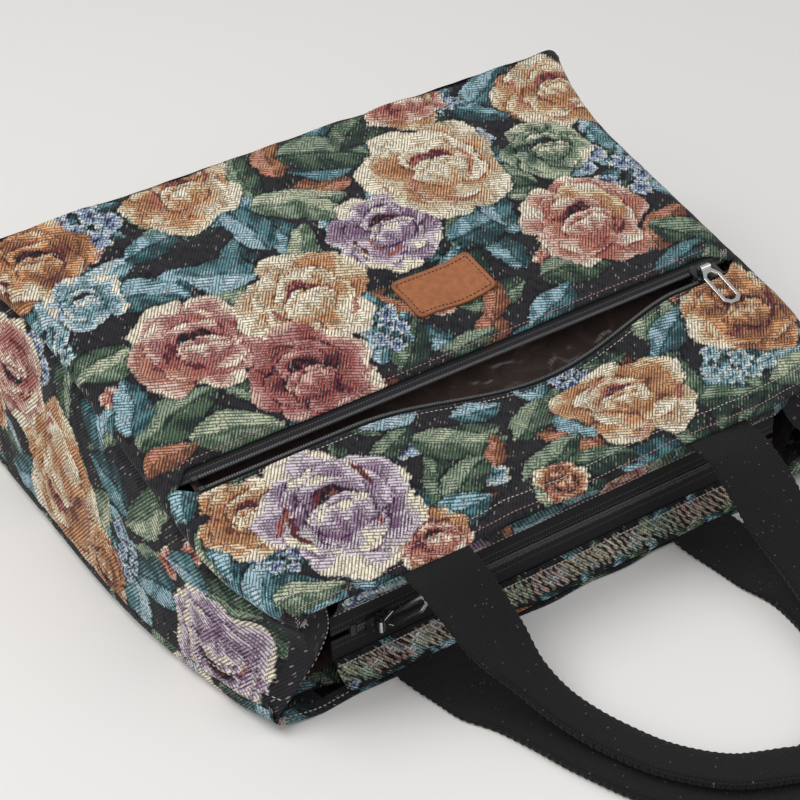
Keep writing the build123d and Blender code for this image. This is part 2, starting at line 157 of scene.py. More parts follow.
# Yarns, in linear light
INK = (0.005, 0.005, 0.007)
COAL = (0.017, 0.017, 0.021)
ASH = (0.12, 0.12, 0.12)
BONE = (0.80, 0.72, 0.56)
CREAM = (0.66, 0.53, 0.35)
PEACH = (0.60, 0.30, 0.14)
AMBER = (0.38, 0.165, 0.07)
RUST = (0.17, 0.058, 0.036)
SALMON = (0.52, 0.22, 0.15)
CORAL = (0.38, 0.11, 0.09)
ROSE = (0.44, 0.19, 0.18)
WINE = (0.12, 0.018, 0.03)
BLUSH = (0.62, 0.40, 0.33)
LAVENDER = (0.36, 0.26, 0.35)
MAUVE = (0.20, 0.11, 0.19)
PLUM = (0.05, 0.022, 0.06)
LILAC = (0.60, 0.52, 0.58)
SKY = (0.30, 0.46, 0.52)
MIST = (0.46, 0.58, 0.62)
TEAL = (0.08, 0.20, 0.22)
DEEP_TEAL = (0.018, 0.055, 0.065)
SAGE = (0.23, 0.30, 0.21)
PALE_SAGE = (0.44, 0.48, 0.33)
MOSS = (0.07, 0.12, 0.07)
PINE = (0.014, 0.034, 0.026)
PERIWINKLE = (0.33, 0.40, 0.60)
NAVY = (0.03, 0.05, 0.11)

# Each dye runs from its darkest yarn to its palest
DYES = {
    "ground": (INK, INK, COAL, ASH, ASH),
    "peach": (RUST, AMBER, PEACH, CREAM, BONE),
    "orange": (WINE, RUST, AMBER, PEACH, CREAM),
    "cream": (RUST, PEACH, CREAM, BONE, BONE),
    "coral": (WINE, CORAL, SALMON, BLUSH, BONE),
    "pink": (WINE, CORAL, ROSE, BLUSH, BONE),
    "wine": (INK, WINE, CORAL, ROSE, BLUSH),
    "purple": (PLUM, MAUVE, LAVENDER, LILAC, BONE),
    "pearl": (PLUM, MAUVE, LILAC, BONE, BONE),
    "sage": (PINE, MOSS, SAGE, PALE_SAGE, BONE),
    "green": (INK, PINE, MOSS, SAGE, PALE_SAGE),
    "teal": (INK, DEEP_TEAL, TEAL, SKY, MIST),
    "sky": (DEEP_TEAL, TEAL, SKY, MIST, BONE),
    "blue": (NAVY, NAVY, PERIWINKLE, MIST, BONE),
    "rust": (INK, RUST, AMBER, SALMON, CREAM),
}
DYE_NAMES = tuple(DYES)
# The second dye that each rose's folds are woven in
ACCENTS = {"peach": "coral", "orange": "wine", "cream": "coral", "coral": "wine", "pink": "wine", "wine": "wine",
           "purple": "wine", "sage": "teal", "sky": "teal"}
# The dye that some of a rose's petals take from its neighbours
NEIGHBOURS = {"peach": "cream", "orange": "peach", "cream": "peach", "coral": "peach", "pink": "coral", "wine": "pink",
              "purple": "pearl", "sage": "green", "sky": "blue", "rust": "peach"}

# Flowers and leaves of each panel: a kind, then its rows of across, up, size, turn and dye, in millimetres and
# radians. Later ones lie over earlier ones.
FRONT_MOTIFS = (
    ("leaf", (-83, 212, 44, 2.7, "sky"), (-53, 238, 50, 1.7, "sky"), (-134, 238, 46, 0.4, "sky"),
     (-124, 214, 52, -0.5, "teal"), (-100, 252, 40, 0.2, "teal"), (-14, 243, 56, -0.3, "sage"),
     (-4, 226, 40, -0.9, "sage"), (20, 268, 60, -0.5, "green"), (46, 280, 44, 0.6, "green"),
     (62, 178, 46, 0.2, "teal"), (84, 190, 40, 1.2, "teal"), (170, 124, 50, -0.6, "green"),
     (150, 110, 42, 0.3, "teal"), (190, 150, 40, 1.3, "green"), (137, 284, 52, 0.5, "teal"),
     (118, 262, 42, -0.7, "teal"), (-150, 132, 56, 0.3, "sage"), (-128, 110, 50, -0.3, "sage"),
     (-168, 152, 40, 1.2, "teal"), (-160, 182, 36, 0.2, "sage"), (-166, 112, 32, 0.1, "rust"),
     (90, 126, 44, -0.2, "green"), (64, 112, 40, 0.4, "teal"), (-20, 122, 40, 0.8, "green"),
     (10, 110, 36, 0.1, "sage"), (-30, 206, 38, 1.2, "sage"), (100, 204, 36, -0.6, "green"),
     (30, 160, 34, 0.5, "teal"), (-104, 292, 36, 0.5, "green"), (180, 210, 40, 1.6, "teal"),
     (-190, 250, 36, 1.0, "rust"), (38, 130, 30, 1.0, "rust")),
    ("sprig", (-124, 284, 24, 0.2, "blue"), (166, 184, 24, 0.9, "blue"), (-24, 138, 17, 0.1, "blue"),
     (106, 284, 17, 0.5, "blue"), (-186, 208, 16, 0.9, "sky")),
    ("rose", (-70, 282, 32, 0.3, "peach"), (-164, 266, 31, 1.1, "orange"), (86, 292, 25, 0.5, "coral"),
     (174, 262, 34, 0.9, "peach"), (136, 217, 25, 0.1, "sage"), (14, 198, 30, 0.4, "purple"),
     (66, 232, 40, 0.2, "cream"), (121, 156, 36, 2.0, "coral"), (-118, 172, 33, 0.7, "pink"),
     (-52, 172, 34, 1.5, "cream"), (-75, 126, 32, 2.6, "wine"), (-152, 228, 20, 1.6, "sky")),
)
LOWER_MOTIFS = (
    ("leaf", (-44, 30, 46, 0.5, "sage"), (-34, 58, 50, -0.4, "sage"), (-60, 14, 40, 0.1, "teal"),
     (0, 24, 44, 0.3, "green"), (8, 60, 44, 0.8, "sage"), (20, 8, 40, -0.2, "green"), (104, 16, 46, -0.4, "green"),
     (110, 66, 42, 0.5, "teal"), (96, 40, 36, 1.4, "sage"), (-162, 24, 40, 0.9, "sky"), (-172, 52, 36, 1.4, "teal"),
     (-150, 10, 36, -0.2, "sage"), (-22, 44, 26, 1.1, "rust"), (-66, 70, 30, 0.4, "green"),
     (176, 40, 36, 1.3, "teal"), (150, 14, 36, 0.2, "sage"), (-12, 78, 30, 0.1, "teal")),
    ("sprig", (126, 32, 19, 0.4, "sky"), (-150, 36, 14, 0.4, "blue"), (46, 84, 14, 0.2, "blue")),
    ("rose", (-152, 62, 24, 0.6, "peach"), (-80, 8, 19, 0.2, "coral"), (152, 60, 31, 0.8, "orange"),
     (-112, 46, 38, 1.2, "purple"), (60, 42, 36, 2.2, "peach"), (-6, 8, 13, 1.1, "rust")),
)
LEFT_MOTIFS = (
    ("leaf", (90, 40, 44, 0.4, "teal"), (106, 66, 46, 1.9, "sky"), (84, 84, 40, 0.6, "sky"),
     (140, 20, 44, 0.0, "teal"), (130, 94, 44, 0.3, "green"), (20, 90, 46, 0.1, "teal"), (60, 96, 40, -0.1, "sage"),
     (8, 64, 36, 1.4, "teal"), (232, 84, 46, 0.5, "teal"), (150, 44, 40, 1.0, "sage"), (262, 40, 44, 1.2, "teal"),
     (284, 96, 40, 0.8, "sky"), (66, 14, 36, 0.2, "sky"), (14, 14, 40, 0.2, "green"), (172, 104, 40, 0.1, "green")),
    ("sprig", (118, 44, 16, 0.2, "blue"), (226, 14, 17, 0.7, "blue")),
    ("rose", (42, 42, 30, 2.3, "purple"), (190, 62, 42, 0.4, "peach"), (246, 30, 28, 0.9, "pink"),
     (280, 66, 24, 0.2, "orange"), (136, 68, 20, 1.2, "orange")),
)
RIGHT_MOTIFS = (
    ("leaf", (60, 60, 46, 0.5, "teal"), (110, 90, 46, 0.2, "sage"), (160, 20, 44, 1.0, "sky"),
     (210, 90, 46, 0.4, "green"), (250, 20, 40, 0.1, "teal")),
    ("sprig", (180, 90, 18, 0.2, "blue")),
    ("rose", (36, 30, 28, 0.6, "orange"), (112, 44, 34, 1.1, "cream"), (196, 50, 34, 0.4, "purple"),
     (262, 66, 32, 2.0, "coral")),
)
BACK_MOTIFS = (
    ("leaf", (-120, 100, 56, 0.4, "sky"), (-60, 150, 56, 1.2, "sage"), (20, 90, 52, -0.3, "teal"),
     (90, 200, 54, 0.5, "green"), (150, 120, 56, 1.0, "sky"), (-150, 240, 50, 0.2, "teal"),
     (0, 250, 50, 0.9, "sage")),
    ("sprig", (-20, 30, 24, 0.2, "blue"), (160, 250, 24, 0.7, "blue"), (-100, 190, 20, 0.4, "sky")),
    ("rose", (-150, 160, 38, 0.2, "pink"), (-90, 50, 36, 1.1, "peach"), (-40, 220, 40, 0.5, "cream"),
     (40, 150, 38, 0.8, "purple"), (60, 40, 34, 0.3, "coral"), (110, 260, 36, 0.1, "orange"),
     (130, 60, 32, 1.7, "sage"), (160, 180, 36, 0.6, "peach"), (-170, 60, 30, 2.0, "purple"),
     (-120, 270, 30, 0.6, "wine")),
)
BASE_MOTIFS = (
    ("leaf", (-130, 40, 50, 0.4, "teal"), (-40, 90, 50, 0.1, "sage"), (60, 30, 50, 0.5, "sky"),
     (150, 90, 50, 1.0, "green")),
    ("sprig", (20, 100, 20, 0.2, "blue")),
    ("rose", (-160, 90, 34, 0.3, "orange"), (-80, 50, 36, 1.2, "cream"), (0, 50, 32, 0.4, "wine"),
     (100, 80, 36, 0.8, "peach"), (170, 40, 32, 0.2, "purple")),
)
MOUTH_MOTIFS = (
    ("leaf", (-20, 10, 34, 0.1, "teal"), (8, 8, 32, 0.2, "teal")),
    ("rose", (34, 12, 13, 0.4, "coral")),
    ("leaf", (58, 10, 30, 1.2, "sage"), (76, 12, 26, 0.8, "green"), (-60, 10, 26, 0.3, "purple"),
     (-104, 10, 30, 0.2, "sky")),
    ("rose", (-124, 8, 10, 0.3, "blue")),
)
# Short pale bars, as on the edge of a loom's width
LADDER_DYES = ("peach", "cream", "sage", "coral")
LADDER_MOTIFS = (("bar", *((x, 8, 13, 1.25, LADDER_DYES[x // 24 % 4]) for x in range(-136, 137, 4))),)


def chosen():
    """The sizes and colours set in the panel."""
    return bpy.context.scene.tote_settings


def darker(color, share):
    """A colour with only a share of its light."""
    return tuple(channel * share for channel in color)


def smooth(low, high, value):
    """A soft step from 0 to 1."""
    t = np.clip((value - low) / (high - low), 0.0, 1.0)
    return t * t * (3.0 - 2.0 * t)


def half_back(h):
    """Half width of the back panel at a height from the mouth."""
    short = np.clip(1.0 - h / (0.55 * HEIGHT), 0.0, None)
    return BASE_WIDTH / 2 - (BASE_WIDTH - BACK_MOUTH_WIDTH) / 2 * short ** 2


def half_front(h):
    """Half width of the front panel."""
    flare = np.clip((h / HEIGHT - 0.7) / 0.3, 0.0, None)
    close = np.clip(1.0 - h / (0.22 * HEIGHT), 0.0, None)
    wide = (FRONT_BASE_WIDTH - FRONT_WAIST_WIDTH) / 2 * flare ** 2
    return FRONT_WAIST_WIDTH / 2 + wide - (FRONT_WAIST_WIDTH - FRONT_MOUTH_WIDTH) / 2 * close ** 2


def top(h):
    """Height of the front panel's plane above the table."""
    return MOUTH_DEPTH + (BASE_DEPTH - MOUTH_DEPTH) * h / HEIGHT


def crown(h):
    """How far the front's middle stands proud above the pocket zip."""
    start = POCKET_H + POCKET_SLOT
    share = np.clip((h - start) / (HEIGHT - start), 0.0, 1.0)
    return FRONT_CROWN * np.sin(math.pi * share) ** 2


def slot_half(x):
    """Half the pocket slot's height: it closes at the ends of the zip's tapes."""
    return POCKET_SLOT * math.cos(SLOPE) * smooth(176.0 * MM, 161.0 * MM, np.abs(x)) + 0.2 * MM


def upper_slot(x):
    """The slot's upper half, wider, so that the tape shows above its row."""
    return 1.38 * slot_half(x)


def pinch(h):
    """How far the gusset folds in."""
    near = np.clip(1.0 - h / (70.0 * MM), 0.0, 1.0)
    return MOUTH_PINCH * near ** 2 - GUSSET_BULGE * np.sin(math.pi * np.clip(h / HEIGHT, 0.0, 1.0))


def ripple(a, b, seed, scale):
    """Soft unevenness in about -1 to 1, from a few crossed waves."""
    rng = random.Random(seed)
    total = np.zeros_like(a)
    for k in range(7):
        angle = rng.uniform(0, math.pi)
        wave = 2 * math.pi / scale * rng.uniform(0.5, 1.9)
        total += np.sin((a * math.cos(angle) + b * math.sin(angle)) * wave + rng.uniform(0, 6.28)) / (1 + 0.35 * k)
    return total / 2.6


def gape(x):
    """How far the pocket's mouth stands open at a place across the bag, from 0 to 1."""
    share = np.clip((x - GAPE_LEFT) / (GAPE_RIGHT - GAPE_LEFT), 0.0, 1.0)
    return np.sin(math.pi * share ** 1.15) ** 1.6


def to_world(x, h, z):
    """Points from places across, up from the mouth and above the table."""
    return np.stack([x, h + MOUTH_Y, z + TABLE_Z], axis=-1)


def front_section(along, h):
    """The front's place for a signed distance along the cloth from its middle, with both edges rolled down."""
    side = np.sign(along)
    reach = half_front(h) - ROLL
    past = np.abs(along) - reach
    flat = np.clip(np.abs(along) / reach, 0.0, 1.0)
    angle = np.clip(past / ROLL, 0.0, math.pi / 2)
    x = np.where(past > 0, reach + ROLL * np.sin(angle), np.abs(along))
    z = top(h) + np.where(past > 0, -ROLL * (1 - np.cos(angle)), crown(h) * (1 - flat ** 2) ** 2)
    tuck = smooth(-3.0 * MM, 0.0, past - ROLL * math.pi / 2)
    return side * (x - 2.2 * MM * tuck), z


def front_length(h):
    """Distance along the front's section from its middle to its seam."""
    return half_front(h) - ROLL + ROLL * math.pi / 2


def pucker(distance, along, seed):
    """Small gathers beside a seam, that fade away from it."""
    near = np.exp(-np.clip(distance, 0.0, None) / (7.0 * MM))
    return near * (0.35 * np.sin(along / (3.1 * MM) + 1.3 * np.sin(along / (23.0 * MM) + seed)) - 0.2)


def curl(past, radius):
    """A hem's fold: how far forward and how far under the cloth has gone at a distance past its edge."""
    angle = np.clip(past / radius, 0.0, math.pi)
    straight = np.clip(past - math.pi * radius, 0.0, None)
    return radius * np.sin(angle) - straight, radius * (1 - np.cos(angle))


class Canvas:
    """The woven picture on a set of cloth points, in millimetres: a dye and a tone for each point."""

    def __init__(self, u, v, seed):
        row = np.floor((v + 0.4 * u) / 1.9)
        feather = np.modf(np.abs(np.sin(row * 12.9898 + seed) * 43758.5453))[0] - 0.5
        self.u = u + 0.5 * np.sin(v * 0.31 + seed) + 2.4 * feather
        self.v = v + 0.5 * np.sin(u * 0.27 + seed)
        self.dye = np.zeros(len(u), dtype=np.int32)
        self.tone = np.full(len(u), 1.5) + 0.35 * ripple(u, v, seed, 9.0)
        self.random = random.Random(seed)

    def near(self, x, y, size, turn):
        """The points within a size of a place, in the turned frame of that place."""
        picked = np.nonzero((np.abs(self.u - x) < size) & (np.abs(self.v - y) < size))[0]
        dx = self.u[picked] - x
        dy = self.v[picked] - y
        return picked, dx * math.cos(turn) + dy * math.sin(turn), dy * math.cos(turn) - dx * math.sin(turn)

    def paint(self, picked, inside, dye, tone):
        """Sets the dye and tone of the picked points that lie inside."""
        spot = picked[inside]
        self.dye[spot] = DYE_NAMES.index(dye)
        self.tone[spot] = tone[inside]

    def shade(self, picked, inside, amount):
        """Darkens points round a petal or leaf."""
        spot = picked[inside]
        self.tone[spot] = np.maximum(0.05, self.tone[spot] - amount)

    def petal(self, x, y, along, across, turn, dye, low, high):
        """One cupped petal: dark at its foot, pale at its wavy rim."""
        rng = self.random
        picked, p, q = self.near(x, y, 1.3 * max(along, across), turn)
        around = np.arctan2(q / across, p / along)
        wave = 0.08 * np.sin(3.0 * around + rng.uniform(0, 6.28)) + 0.04 * np.sin(7.0 * around + rng.uniform(0, 6.28))
        edge = np.hypot(p / along, q / across) + wave
        rise = np.clip((p / along + 1.0) / 2.0, 0.0, 1.0)
        tone = low + (high - low) * rise ** 1.25
        tone = tone + 0.45 * smooth(0.70, 0.95, edge) * (rise > 0.5)
        fan = np.arctan2(q, p + 1.3 * along)
        tone = tone + 0.85 * np.sin(fan * rng.uniform(6.0, 11.0) + rng.uniform(0, 6.28)) * (1 - edge * 0.35)
        tone = 0.35 * tone + 0.65 * np.round(tone * 1.4) / 1.4
        self.shade(picked, (edge >= 1.0) & (edge < 1.0 + 1.5 / max(along, across)), 0.9)
        self.paint(picked, edge < 1.0, dye, np.clip(tone, 0.05, 3.98))

    def rose(self, x, y, size, turn, dye):
        """An open rose: ruffled outer petals, a cup set off to one side, and its dark heart."""
        rng = self.random
        rings = ((5, 0.62, 0.50, 0.56, 1.2, 3.7), (4, 0.40, 0.42, 0.50, 0.8, 3.4))
        for count, out, along, across, low, high in rings:
            first = turn + rng.uniform(0, 2.0)
            for i in range(count):
                angle = first + 2 * math.pi * i / count + rng.uniform(-0.25, 0.25)
                grow = size * rng.uniform(0.85, 1.15)
                lift = rng.uniform(-1.3, 0.35)
                shade = NEIGHBOURS.get(dye, dye) if rng.random() < 0.28 else dye
                self.petal(x + out * size * math.cos(angle), y + 0.9 * out * size * math.sin(angle), along * grow,
                           across * grow, angle, shade, low + lift, high + lift)
        for _ in range(5):
            angle = rng.uniform(0, 2 * math.pi)
            out = rng.uniform(0.35, 0.8) * size
            self.stroke(x + out * math.cos(angle), y + out * math.sin(angle), rng.uniform(0.16, 0.26) * size,
                        0.045 * size, angle + rng.uniform(0.9, 2.2), ACCENTS.get(dye, dye), rng.uniform(0.6, 2.4))
        heart_x = x + 0.12 * size * math.cos(turn)
        heart_y = y + 0.10 * size
        up = math.pi / 2 + rng.uniform(-0.3, 0.3)
        self.petal(heart_x, heart_y + 0.12 * size, 0.34 * size, 0.42 * size, up, dye, 0.6, 3.2)
        self.petal(heart_x, heart_y + 0.04 * size, 0.24 * size, 0.30 * size, up + math.pi, ACCENTS.get(dye, dye),
                   0.1, 1.7)
        self.petal(heart_x + 0.05 * size, heart_y + 0.02 * size, 0.13 * size, 0.16 * size, up, "wine", 0.1, 1.3)
        for side in (-1, 1):
            self.petal(heart_x + side * 0.17 * size, heart_y - 0.15 * size, 0.22 * size, 0.30 * size,
                       up - side * 0.55, dye, 0.5, 3.4)
        self.petal(heart_x, heart_y - 0.28 * size, 0.24 * size, 0.40 * size, up, dye, 0.9, 3.8)

    def stroke(self, x, y, along, across, turn, dye, tone):
        """A short curved mark of another dye."""
        picked, p, q = self.near(x, y, 1.2 * along, turn)
        inside = np.hypot(p / along, (q - 0.25 * p * p / along) / across) < 1.0
        self.paint(picked, inside, dye, np.full(len(picked), tone))

    def bar(self, x, y, size, turn, dye):
        """A short straight bar."""
        self.stroke(x, y, size / 2, 1.0, turn, dye, 3.1)

    def leaf(self, x, y, size, turn, dye):
        """A pointed leaf with a rib, side veins and one paler half."""
        rng = self.random
        half = size / 2
        picked, p, q = self.near(x, y, 1.2 * half, turn)
        run = np.clip(p / half, -1.0, 1.0)
        bend = q - 0.12 * half * (1 - run ** 2) * rng.choice((-1, 1))
        width = rng.uniform(0.40, 0.52) * half * np.clip(1 - run ** 2, 0.0, 1.0) ** 0.75 * (1 - 0.28 * run)
        share = bend / np.maximum(width, 0.01)
        inside = (np.abs(share) < 1.0) & (np.abs(p) < half)
        tone = 1.9 + rng.uniform(-0.6, 0.5) + 0.75 * np.sign(share) * np.clip(np.abs(share) * 3, 0, 1)
        tone = tone + 0.35 * np.sin(run * 9.0 - np.abs(share) * 3.2) - 0.5 * np.abs(share) ** 2
        rib = np.abs(bend) < 0.045 * half
        tone = np.where(rib, tone - 1.0, tone)
        rim = (np.abs(share) >= 1.0) & (np.abs(bend) < width + 1.6) & (np.abs(p) < half)
        self.shade(picked, rim, 0.9)
        self.paint(picked, inside, dye, np.clip(tone, 0.05, 3.98))

    def sprig(self, x, y, size, turn, dye):
        """A spray of small flowers on leafy stems."""
        rng = self.random
        for i in range(5):
            angle = turn + i * 1.26
            self.leaf(x + 0.6 * size * math.cos(angle), y + 0.6 * size * math.sin(angle), 0.9 * size, angle, "teal")
        for i in range(7):
            angle = turn + i * 0.9 + rng.uniform(-0.2, 0.2)
            out = size * (0.15 if i == 0 else rng.uniform(0.45, 0.85))
            self.floret(x + out * math.cos(angle), y + out * math.sin(angle), rng.uniform(0.22, 0.32) * size, dye)

    def floret(self, x, y, size, dye):
        """One small flower with five round petals."""
        first = self.random.uniform(0, 1.2)
        for i in range(5):
            angle = first + i * 1.2566
            self.petal(x + 0.6 * size * math.cos(angle), y + 0.6 * size * math.sin(angle), 0.5 * size, 0.5 * size,
                       angle, dye, 1.6, 3.3)

    def fill(self, low, high, spacing):
        """Leaves and small flowers strewn under the main ones."""
        rng = self.random
        kinds = ("teal", "green", "green", "sage", "teal", "rust", "sky")
        across = int((high[0] - low[0]) / spacing) + 1
        up = int((high[1] - low[1]) / spacing) + 1
        for i in range(across):
            for j in range(up):
                x = low[0] + (i + rng.uniform(0.1, 0.9)) * spacing
                y = low[1] + (j + rng.uniform(0.1, 0.9)) * spacing
                size = spacing * rng.uniform(1.0, 1.6)
                turn = rng.uniform(0, math.pi)
                if rng.random() < 0.12:
                    self.floret(x, y, 0.24 * spacing, rng.choice(("blue", "sky", "coral")))
                else:
                    self.leaf(x, y, size, turn, rng.choice(kinds))

    def yarns(self):
        """For each point: the pale yarn with its share, and the dark yarn with its twill."""
        table = np.array([DYES[name] for name in DYE_NAMES])
        tone = np.clip(self.tone, 0.0, 3.999)
        step = tone.astype(np.int32)
        share = tone - step
        light = table[self.dye, step + 1]
        deep = table[self.dye, step] * 0.9 + 0.1 * np.array(INK)
        twill = ((self.dye * 3 + step) % 3 == 0) | (step < 2)
        return np.column_stack([light, share]), np.column_stack([deep, twill])


def add_colors(mesh, name, values):
    """Stores a colour for each point of a mesh."""
    layer = mesh.color_attributes.new(name, "FLOAT_COLOR", "POINT")
    layer.data.foreach_set("color", np.ascontiguousarray(values, dtype=np.float32).ravel())


def add_cloth_places(mesh, u, v):
    """Stores where each point lies on its cloth, in millimetres."""
    layer = mesh.attributes.new("cloth", "FLOAT_VECTOR", "POINT")
    flat = np.column_stack([u / MM, v / MM, np.zeros(len(u))]).astype(np.float32)
    layer.data.foreach_set("vector", flat.ravel())


def weave_print(mesh, u, v, motifs, seed, spacing, bare):
    """Weaves flowers and leaves into a mesh whose points lie at u and v on the cloth, plain ground before bare."""
    canvas = Canvas(u / MM, v / MM, seed)
    low = (u.min() / MM, v.min() / MM)
    high = (u.max() / MM, v.max() / MM)
    canvas.fill(low, high, spacing)
    for kind, *rows in motifs:
        for row in rows:
            getattr(canvas, kind)(*row)
    if bare is not None:
        canvas.dye[u < bare] = 0
        canvas.tone[u < bare] = 1.9
    light, deep = canvas.yarns()
    add_colors(mesh, "pale_yarn", light)
    add_colors(mesh, "dark_yarn", deep)


def finish_piece(mesh, name, material, replaced=()):
    """Makes an object of a mesh, rides it on the bag and hides the nodes that it replaces."""
    mesh.materials.append(material)
    mesh.polygons.foreach_set("use_smooth", [True] * len(mesh.polygons))
    mesh.update()
    piece = bpy.data.objects.new(name, mesh)
    bpy.context.scene.collection.objects.link(piece)
    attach(piece, "root")
    if replaced:
        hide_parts(*replaced)
    return piece


def mesh_of(bm, name):
    """A mesh made of a bmesh, which is then freed."""
    mesh = bpy.data.meshes.new(name)
    bm.to_mesh(mesh)
    bm.free()
    return mesh


def mesh_points(mesh):
    """The places of a mesh's points."""
    flat = np.empty(len(mesh.vertices) * 3)
    mesh.vertices.foreach_get("co", flat)
    return flat.reshape(-1, 3)


def move_points(mesh, points):
    """Puts a mesh's points at new places."""
    mesh.vertices.foreach_set("co", np.ascontiguousarray(points).ravel())
    mesh.update()


def grid_mesh(name, across, up, place, flip):
    """A grid laid by place(a, b), for a and b from 0 to 1, which gives its points and their places on the cloth."""
    bm = bmesh.new()
    bmesh.ops.create_grid(bm, x_segments=across, y_segments=up, size=0.5)
    if flip:
        bmesh.ops.reverse_faces(bm, faces=bm.faces)
    mesh = mesh_of(bm, name)
    grid = mesh_points(mesh)
    points, u, v = place(np.clip(grid[:, 0] + 0.5, 0.0, 1.0), np.clip(grid[:, 1] + 0.5, 0.0, 1.0))
    move_points(mesh, points)
    add_cloth_places(mesh, u, v)
    return mesh, u, v


class Link:
    """A shader socket on which sums and products add their Math nodes."""

    def __init__(self, paint, socket):
        self.paint = paint
        self.socket = socket

    def math(self, operation, *others):
        node = self.paint.node("ShaderNodeMath", {"operation": operation}, self, *others)
        return Link(self.paint, node.outputs[0])

    def __add__(self, other):
        return self.math("ADD", other)

    def __sub__(self, other):
        return self.math("SUBTRACT", other)

    def __mul__(self, other):
        return self.math("MULTIPLY", other)

    def __truediv__(self, other):
        return self.math("DIVIDE", other)

    def __rtruediv__(self, other):
        return self.paint.number(other, "DIVIDE", self)

    def __rsub__(self, other):
        return self.paint.number(other, "SUBTRACT", self)

    __radd__ = __add__
    __rmul__ = __mul__

    def floor(self):
        return self.math("FLOOR")

    def fraction(self):
        return self.math("FRACT")

    def sine(self):
        return self.math("SINE")

    def size(self):
        return self.math("ABSOLUTE")

    def ridge(self):
        """How near a place is to the middle of its cell, from 0 to 1."""
        return 1.0 - (self.fraction() * 2.0 - 1.0).size()

    def step(self, low, high):
        """A soft step from 0 at low to 1 at high."""
        settings = {"interpolation_type": "SMOOTHSTEP"}
        node = self.paint.node("ShaderNodeMapRange", settings, self, low, high, 0.0, 1.0)
        return Link(self.paint, node.outputs[0])


class Paint:
    """Builds one procedural material on a Principled shader."""

    def __init__(self, name, **constants):
        self.material = bpy.data.materials.new(name)
        self.material.use_nodes = True
        self.tree = self.material.node_tree
        self.shader = self.tree.nodes["Principled BSDF"]
        for key, value in constants.items():
            self.shader.inputs[key.replace("_", " ")].default_value = value

    def node(self, kind, settings, *values, **named):
        """One node: its settings first, then the values or links of its sockets by place or by name."""
        node = self.tree.nodes.new(kind)
        for key, value in settings.items():
            setattr(node, key, value)
        pairs = list(zip([socket for socket in node.inputs if socket.enabled], values))
        pairs += [(node.inputs[key.replace("_", " ")], value) for key, value in named.items()]
        for socket, value in pairs:
            if isinstance(value, Link):
                self.tree.links.new(value.socket, socket)
            elif value is not None:
                socket.default_value = value
        return node

    def number(self, value, operation, other):
        node = self.node("ShaderNodeMath", {"operation": operation}, value, other)
        return Link(self, node.outputs[0])

    def place(self):
        """Object coordinates, in metres."""
        return Link(self, self.node("ShaderNodeTexCoord", {}).outputs["Object"])

    def stored(self, name):
        """A stored attribute's colour, vector and alpha."""
        node = self.node("ShaderNodeAttribute", {"attribute_name": name})
        return [Link(self, node.outputs[key]) for key in ("Color", "Vector", "Alpha")]

    def cloth(self):
        """Where a point lies on its cloth, in millimetres, and the two parts of that."""
        place = self.stored("cloth")[1]
        return place, *self.parts(place)[:2]

    def parts(self, vector):
        node = self.node("ShaderNodeSeparateXYZ", {}, vector)
        return [Link(self, socket) for socket in node.outputs]

    def join(self, x, y, z=0.0):
        node = self.node("ShaderNodeCombineXYZ", {}, x, y, z)
        return Link(self, node.outputs[0])

    def noise(self, vector, scale, detail=2.0, roughness=0.5):
        node = self.node("ShaderNodeTexNoise", {}, Vector=vector, Scale=scale, Detail=detail, Roughness=roughness)
        return Link(self, node.outputs[0])

    def chance(self, vector):
        node = self.node("ShaderNodeTexWhiteNoise", {"noise_dimensions": "3D"}, vector)
        return Link(self, node.outputs["Value"])

    def mix(self, share, first, second, blend="MIX"):
        """Two colours mixed by a share."""
        node = self.node("ShaderNodeMix", {"data_type": "RGBA", "blend_type": blend})
        for socket, value in ((node.inputs[0], share), (node.inputs[6], first), (node.inputs[7], second)):
            if isinstance(value, Link):
                self.tree.links.new(value.socket, socket)
            else:
                socket.default_value = value if isinstance(value, float) else (*value[:3], 1.0)
        return Link(self, node.outputs[2])

    def scale(self, color, amount):
        """A colour made lighter or darker by a number."""
        node = self.node("ShaderNodeVectorMath", {"operation": "SCALE"}, color, Scale=amount)
        return Link(self, node.outputs[0])

    def finish(self, color, roughness=None, bump=None, metallic=None):
        """Feeds the shader. A bump is its height, strength and distance."""
        for key, link in (("Base Color", color), ("Roughness", roughness), ("Metallic", metallic)):
            if link is not None:
                self.tree.links.new(link.socket, self.shader.inputs[key])
        if bump is not None:
            node = self.node("ShaderNodeBump", {}, Height=bump[0], Strength=bump[1], Distance=bump[2])
            self.tree.links.new(node.outputs[0], self.shader.inputs["Normal"])
        return self.material


def twill_lines(paint, u, v, turn, pitch, dots):
    """How full a twill's yarn is at a place: along its lines, and along the dots between its warp threads."""
    line = (v * math.cos(turn) - u * math.sin(turn)) / pitch
    along = (u * math.cos(turn) + v * math.sin(turn)) / dots + line.floor() * 0.5
    return line.ridge(), along.ridge(), paint.chance(paint.join(along.floor(), line.floor()))


